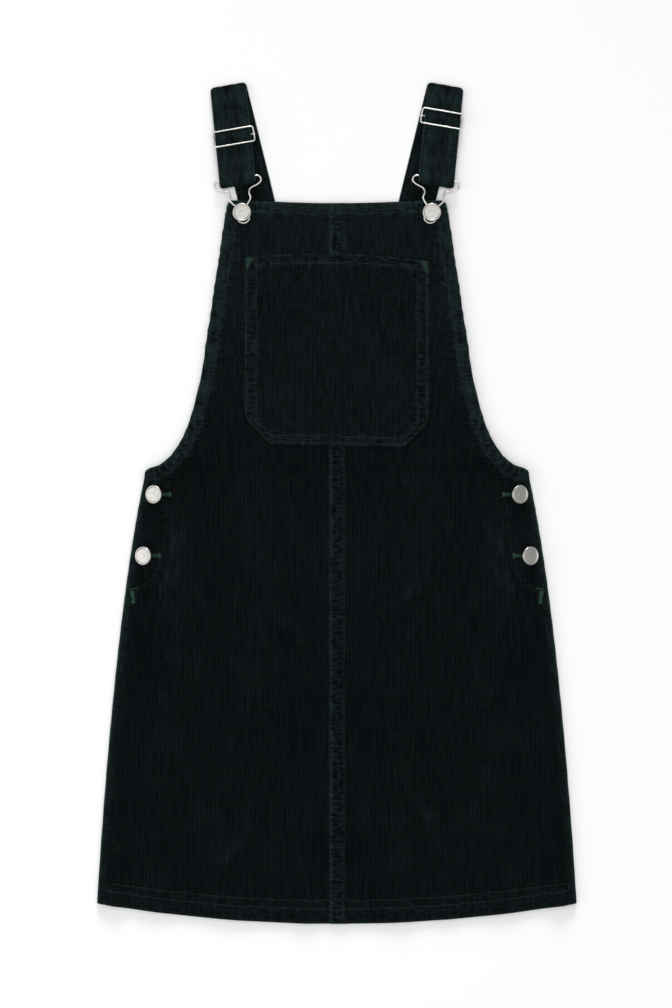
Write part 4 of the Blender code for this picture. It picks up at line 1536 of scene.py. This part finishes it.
@dataclass
class TackButton:
    """A pressed tack button: a dished face in a rolled rim, with a ring of fine beads."""

    shop: Workshop
    radius: float = 9.7
    steps: int = 56
    beads: int = 28
    profile: tuple[tuple[float, float], ...] = (
        (0.0, 2.3),
        (2.5, 2.28),
        (2.75, 2.18),
        (3.05, 2.18),
        (3.3, 2.24),
        (6.3, 2.05),
        (7.0, 1.9),
        (7.4, 1.95),
        (7.8, 2.25),
        (8.3, 2.5),
        (8.8, 2.55),
        (9.4, 2.25),
        (9.7, 1.6),
        (9.65, 0.8),
        (9.2, 0.1),
        (8.6, 0.0),
        (0.0, 0.0),
    )

    def cap(self) -> bmesh.types.BMesh:
        """Spin the cap and set its beads, its axis on Z."""
        bm = bmesh.new()
        verts = [bm.verts.new((x, 0.0, z)) for x, z in self.profile]
        edges = [bm.edges.new(pair) for pair in zip(verts, verts[1:])]
        bmesh.ops.spin(
            bm,
            geom=[*verts, *edges],
            cent=(0, 0, 0),
            axis=(0, 0, 1),
            angle=2 * math.pi,
            steps=self.steps,
            use_merge=True,
        )
        bmesh.ops.remove_doubles(bm, verts=bm.verts, dist=0.001)
        bmesh.ops.recalc_face_normals(bm, faces=bm.faces)
        for step in range(self.beads):
            angle = 2 * math.pi * step / self.beads
            centre = Matrix.Translation((5.0 * math.cos(angle), 5.0 * math.sin(angle), 2.08))
            flat = Matrix.Diagonal((1.0, 1.0, 0.6, 1.0))
            bmesh.ops.create_uvsphere(
                bm, u_segments=6, v_segments=4, radius=0.36, matrix=centre @ flat
            )
        return bm

    def build(
        self, name: str, place: tuple[float, float, float], tilt: float, tack: tuple[float, float]
    ) -> bpy.types.Object:
        """Set a button.

        Args:
            name: The plain solid that it stands for.
            place: Where its cap's underside meets the stem.
            tilt: How far the cap leans about Y.
            tack: The heights of the tack's foot and top, under the cloth.

        Returns:
            The button.
        """
        bm = self.cap()
        bmesh.ops.rotate(bm, verts=bm.verts, matrix=Matrix.Rotation(tilt, 3, "Y"))
        bmesh.ops.translate(bm, verts=bm.verts, vec=place)
        x, y, seat = place
        low, high = tack
        for radius, bottom, top in ((1.6, low + 0.3, seat + 0.8), (5.0, low, high)):
            centre = Matrix.Translation((x, y, (bottom + top) / 2))
            add_rod(bm, radius, top - bottom, centre, 28)
        bmesh.ops.scale(bm, verts=bm.verts, vec=(MM, MM, MM))
        mesh = to_mesh(bm, f"{name}_metal")
        return self.shop.piece(f"{name}_metal", mesh, self.shop.button_nickel, METAL_SLOT, name)


def wire_mesh(name: str, points: Array, radius: float) -> bpy.types.Mesh:
    """A closed loop of round wire as a mesh, in metres.

    Args:
        name: The mesh's name.
        points: The wire's middle line, in millimetres, one point a row.
        radius: The wire's radius.

    Returns:
        The mesh.
    """
    curve = bpy.data.curves.new(name, "CURVE")
    curve.dimensions = "3D"
    curve.bevel_depth = radius * MM
    curve.bevel_resolution = 4
    spline = curve.splines.new("POLY")
    spline.points.add(len(points) - 1)
    spline.use_cyclic_u = True
    for target, (x, y, z) in zip(spline.points, points * MM):
        target.co = (x, y, z, 1.0)
    guide = bpy.data.objects.new(name, curve)
    bpy.context.scene.collection.objects.link(guide)
    graph = bpy.context.evaluated_depsgraph_get()
    mesh = bpy.data.meshes.new_from_object(guide.evaluated_get(graph))
    bpy.data.objects.remove(guide)
    mesh.materials.clear()
    return mesh


@dataclass
class Hook:
    """A wire hook: a bar in the strap's turn, two shoulders, a neck and a loop round the button."""

    shop: Workshop
    strap: Strap
    wire: float = 1.0
    bar_to_loop: float = 41.0
    crosses: tuple[float, float] = (20.0, 31.0)
    half: tuple[tuple[float, float], ...] = (
        (0.0, -6.4),
        (4.5, -4.5),
        (6.4, 0.0),
        (6.3, 6.0),
        (6.2, 12.0),
        (9.0, 15.6),
        (10.9, 19.4),
        (10.1, 24.2),
        (11.6, 28.2),
        (16.0, 30.3),
        (20.8, 31.9),
        (24.3, 34.8),
        (24.4, 38.4),
        (21.8, 40.8),
        (18.0, 41.0),
        (9.0, 41.0),
        (0.0, 41.0),
    )

    def build(self) -> bpy.types.Object:
        """Bend the wire and set it in the strap."""
        strap = self.strap
        bar = strap.cloth * 2 + 2 * strap.gap + self.wire
        loop = FORM.base + FORM.bib_lift + FORM.cloth / 2 + strap.gap + self.wire
        outline = [*self.half, *((-x, y) for x, y in self.half[-2:0:-1])]
        count = len(outline)
        smooth = []
        for index in range(count):
            corners = [outline[(index + offset) % count] for offset in (-1, 0, 1, 2)]
            smooth += [catmull(*corners, step / 8) for step in range(8)]
        flat = np.array(smooth)
        rise = bar + (loop - bar) * (1.0 - smoothstep(*self.crosses, flat[:, 1]))
        side = strap.side.value
        middle = -strap.turn_drop * strap.spread
        drop = strap.hook_drop + self.bar_to_loop
        local = np.stack([-side * (middle + flat[:, 0]), flat[:, 1] - drop, rise], axis=1)
        name = f"hook_{strap.side.word}"
        mesh = wire_mesh(f"{name}_metal", strap.to_dress(local), self.wire)
        return self.shop.piece(f"{name}_metal", mesh, self.shop.nickel, METAL_SLOT, name)


@dataclass
class Slider:
    """A wire slider: a rounded frame over the strap, with a bar wrapped on to its two sides."""

    shop: Workshop
    strap: Strap
    wire: float = 0.9
    half: float = 7.9
    corner: float = 2.5
    outer_reach: float = 20.7
    inner_reach: float = 22.0
    collar: tuple[float, float] = (1.35, 3.4)
    corner_steps: int = 8
    side_steps: int = 12

    def frame_line(self) -> tuple[Array, float]:
        """The frame's middle line on the strap, dipping to the bar at both sides, and the bar's height."""
        strap = self.strap
        returning = strap.cloth + strap.gap + strap.cloth / 2
        bar = returning + strap.cloth / 2 + strap.gap + self.wire
        over = returning + 1.5 * strap.cloth + 2.5 * strap.gap + self.wire
        reach = {1: self.inner_reach, -1: self.outer_reach}
        straight = self.half - self.corner
        flat = []
        for across, along, start in ((1, -1, -90), (1, 1, 0), (-1, 1, 90), (-1, -1, 180)):
            centre = across * (reach[across] - self.corner)
            for step in range(self.corner_steps + 1):
                angle = math.radians(start + 90 * step / self.corner_steps)
                x = centre + self.corner * math.cos(angle)
                flat.append((x, along * straight + self.corner * math.sin(angle)))
            if along != across:
                for step in range(1, self.side_steps):
                    y = -across * straight * (1 - 2 * step / self.side_steps)
                    flat.append((across * reach[across], y))
        line = np.array(flat)
        dip = np.cos(np.clip(math.pi * line[:, 1] / (2 * self.half), -math.pi / 2, math.pi / 2)) ** 2
        side = strap.side.value
        return np.stack([-side * line[:, 0], line[:, 1], over - (over - bar) * dip], axis=1), bar

    def build(self) -> bpy.types.Object:
        """Bend the frame, add the bar and its two wraps, and set it on the strap."""
        strap = self.strap
        side = strap.side.value
        line, bar = self.frame_line()
        drop = strap.slider_drop
        centre = np.array([side * drop * strap.spread, -drop, 0.0])
        name = f"slider_{strap.side.word}"
        bm = bmesh.new()
        bm.from_mesh(wire_mesh(f"{name}_wire", line + centre, self.wire))
        bmesh.ops.scale(bm, verts=bm.verts, vec=(1 / MM, 1 / MM, 1 / MM))
        length = self.inner_reach + self.outer_reach
        middle = Vector((-side * (self.inner_reach - self.outer_reach) / 2, 0.0, bar)) + Vector(centre)
        across = Matrix.Translation(middle) @ Matrix.Rotation(math.pi / 2, 4, "Y")
        add_rod(bm, self.wire * 0.98, length, across, 20)
        radius, width = self.collar
        for reach in (self.inner_reach, -self.outer_reach):
            place = Vector((-side * reach, 0.0, bar)) + Vector(centre)
            along = Matrix.Translation(place) @ Matrix.Rotation(math.pi / 2, 4, "X")
            made = add_rod(bm, radius, width, along, 20)
            rims = {edge for vert in made["verts"] for edge in vert.link_edges if len(edge.link_faces) == 2}
            rims = [edge for edge in rims if any(len(face.verts) > 4 for face in edge.link_faces)]
            bmesh.ops.bevel(
                bm, geom=rims, offset=0.35, segments=2, profile=0.5, affect="EDGES", material=-1
            )
        local = np.array([vert.co for vert in bm.verts])
        for vert, point in zip(bm.verts, strap.to_dress(local) * MM):
            vert.co = point
        mesh = to_mesh(bm, f"{name}_metal")
        return self.shop.piece(f"{name}_metal", mesh, self.shop.nickel, METAL_SLOT, name)


# ---------------------------------------------------------------- the studio


@dataclass
class Studio:
    """The camera straight above, a pale floor and soft light."""

    distance: float = 2.5
    lens: float = 85.0
    aim: tuple[float, float] = (-0.9, -1.3)
    floor_half: float = 4.0
    world: float = 0.41

    def build(self) -> None:
        """Set up the floor, the lights and the camera."""
        scene = bpy.context.scene
        bm = bmesh.new()
        bmesh.ops.create_grid(bm, x_segments=1, y_segments=1, size=self.floor_half)
        bmesh.ops.translate(bm, verts=bm.verts, vec=(0, 0, -0.2 * MM))
        mesh = to_mesh(bm, "floor")
        mesh.materials.append(Paper().make())
        floor = bpy.data.objects.new("floor", mesh)
        scene.collection.objects.link(floor)
        world = bpy.data.worlds.new("studio")
        world.use_nodes = True
        world.node_tree.nodes["Background"].inputs["Color"].default_value = (1, 1, 1, 1)
        world.node_tree.nodes["Background"].inputs["Strength"].default_value = self.world
        scene.world = world
        self.lamp("overhead", (0.1, -0.1, 2.6), (0, 0, 0), 3.2, 36.0)
        self.lamp("from_left", (-2.6, -0.2, 1.0), (0, 0, 0), 2.2, 24.0)
        self.sun("from_shoulders", (0.06, 2.0, 0.57), 2.0, 20.0)
        camera = bpy.data.cameras.new("camera")
        camera.lens = self.lens
        camera.sensor_width = 36.0
        camera.clip_end = 50.0
        holder = bpy.data.objects.new("camera", camera)
        holder.location = (self.aim[0] * MM, self.aim[1] * MM, self.distance)
        scene.collection.objects.link(holder)
        scene.camera = holder
        scene.view_settings.view_transform = "Standard"

    def lamp(
        self,
        name: str,
        place: tuple[float, float, float],
        aim: tuple[float, float, float],
        size: float,
        power: float,
    ) -> None:
        """Hang a soft square lamp that looks at a point."""
        light = bpy.data.lights.new(name, "AREA")
        light.size = size
        light.energy = power
        lamp = bpy.data.objects.new(name, light)
        lamp.location = place
        lamp.rotation_euler = (Vector(aim) - Vector(place)).to_track_quat("-Z", "Y").to_euler()
        bpy.context.scene.collection.objects.link(lamp)

    def sun(
        self, name: str, place: tuple[float, float, float], strength: float, spread: float
    ) -> None:
        """Add a low even light whose shadow shows below the hem."""
        light = bpy.data.lights.new(name, "SUN")
        light.energy = strength
        light.angle = math.radians(spread)
        lamp = bpy.data.objects.new(name, light)
        lamp.rotation_euler = (-Vector(place)).to_track_quat("-Z", "Y").to_euler()
        bpy.context.scene.collection.objects.link(lamp)


# ---------------------------------------------------------------- the whole dress


def main() -> None:
    """Build the dress piece by piece, then the studio."""
    logging.basicConfig(level=logging.INFO, format="%(name)s %(message)s")
    shop = Workshop(
        corduroy=Corduroy().make(),
        thread=Thread("sewing_thread", "#1a2422").make(),
        tack_thread=Thread("bar_tack_thread", "#2c5046").make(),
        nickel=Nickel("nickel_plated_wire").make(),
        # Painted shade: the buttons take a darker copy of the same nickel, so their broad faces read less
        # bright.
        button_nickel=Nickel("nickel_plated_brass", "#bcbab5", 0.34).make(),
    )
    BackPanel(shop).build()
    panels = {side: FrontPanel(shop, side) for side in Side}
    for panel in panels.values():
        panel.build()
    pocket = BibPocket(shop)
    pocket.build()
    straps = {
        Side.LEFT: Strap(shop, Side.LEFT, slider_drop=55.3),
        Side.RIGHT: Strap(shop, Side.RIGHT, slider_drop=36.1),
    }
    for strap in straps.values():
        strap.build()
        Slider(shop, strap).build()
        Hook(shop, strap).build()
    sewing = Sewing(shop, panels, pocket)
    sewing.topstitch()
    sewing.bar_tacks()
    button = TackButton(shop)
    for side in Side:
        panel_top = FORM.base + FORM.bib_lift + FORM.cloth / 2
        button.build(
            f"bib_button_{side.word}",
            (side.value * BIB_BUTTON[0], BIB_BUTTON[1], panel_top + STEM),
            0.0,
            (panel_top - 3.1, panel_top - 1.9),
        )
        for level in Level:
            height = level.value
            x = float(FORM.half_width(height)) - SIDE_BUTTON_INSET
            y = float(FORM.row_y(height, x))
            name = f"side_button_{side.word}_{level.name.lower()}"
            low, high = (c.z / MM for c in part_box(name))
            seat = high - 9.0 * math.sin(SIDE_BUTTON_LEAN) - STEM * math.cos(SIDE_BUTTON_LEAN)
            place = (side.value * x, y, seat)
            button.build(name, place, side.value * SIDE_BUTTON_LEAN, (low, low + TACK_THICKNESS))
    Studio().build()


if __name__ == "__main__":
    main()
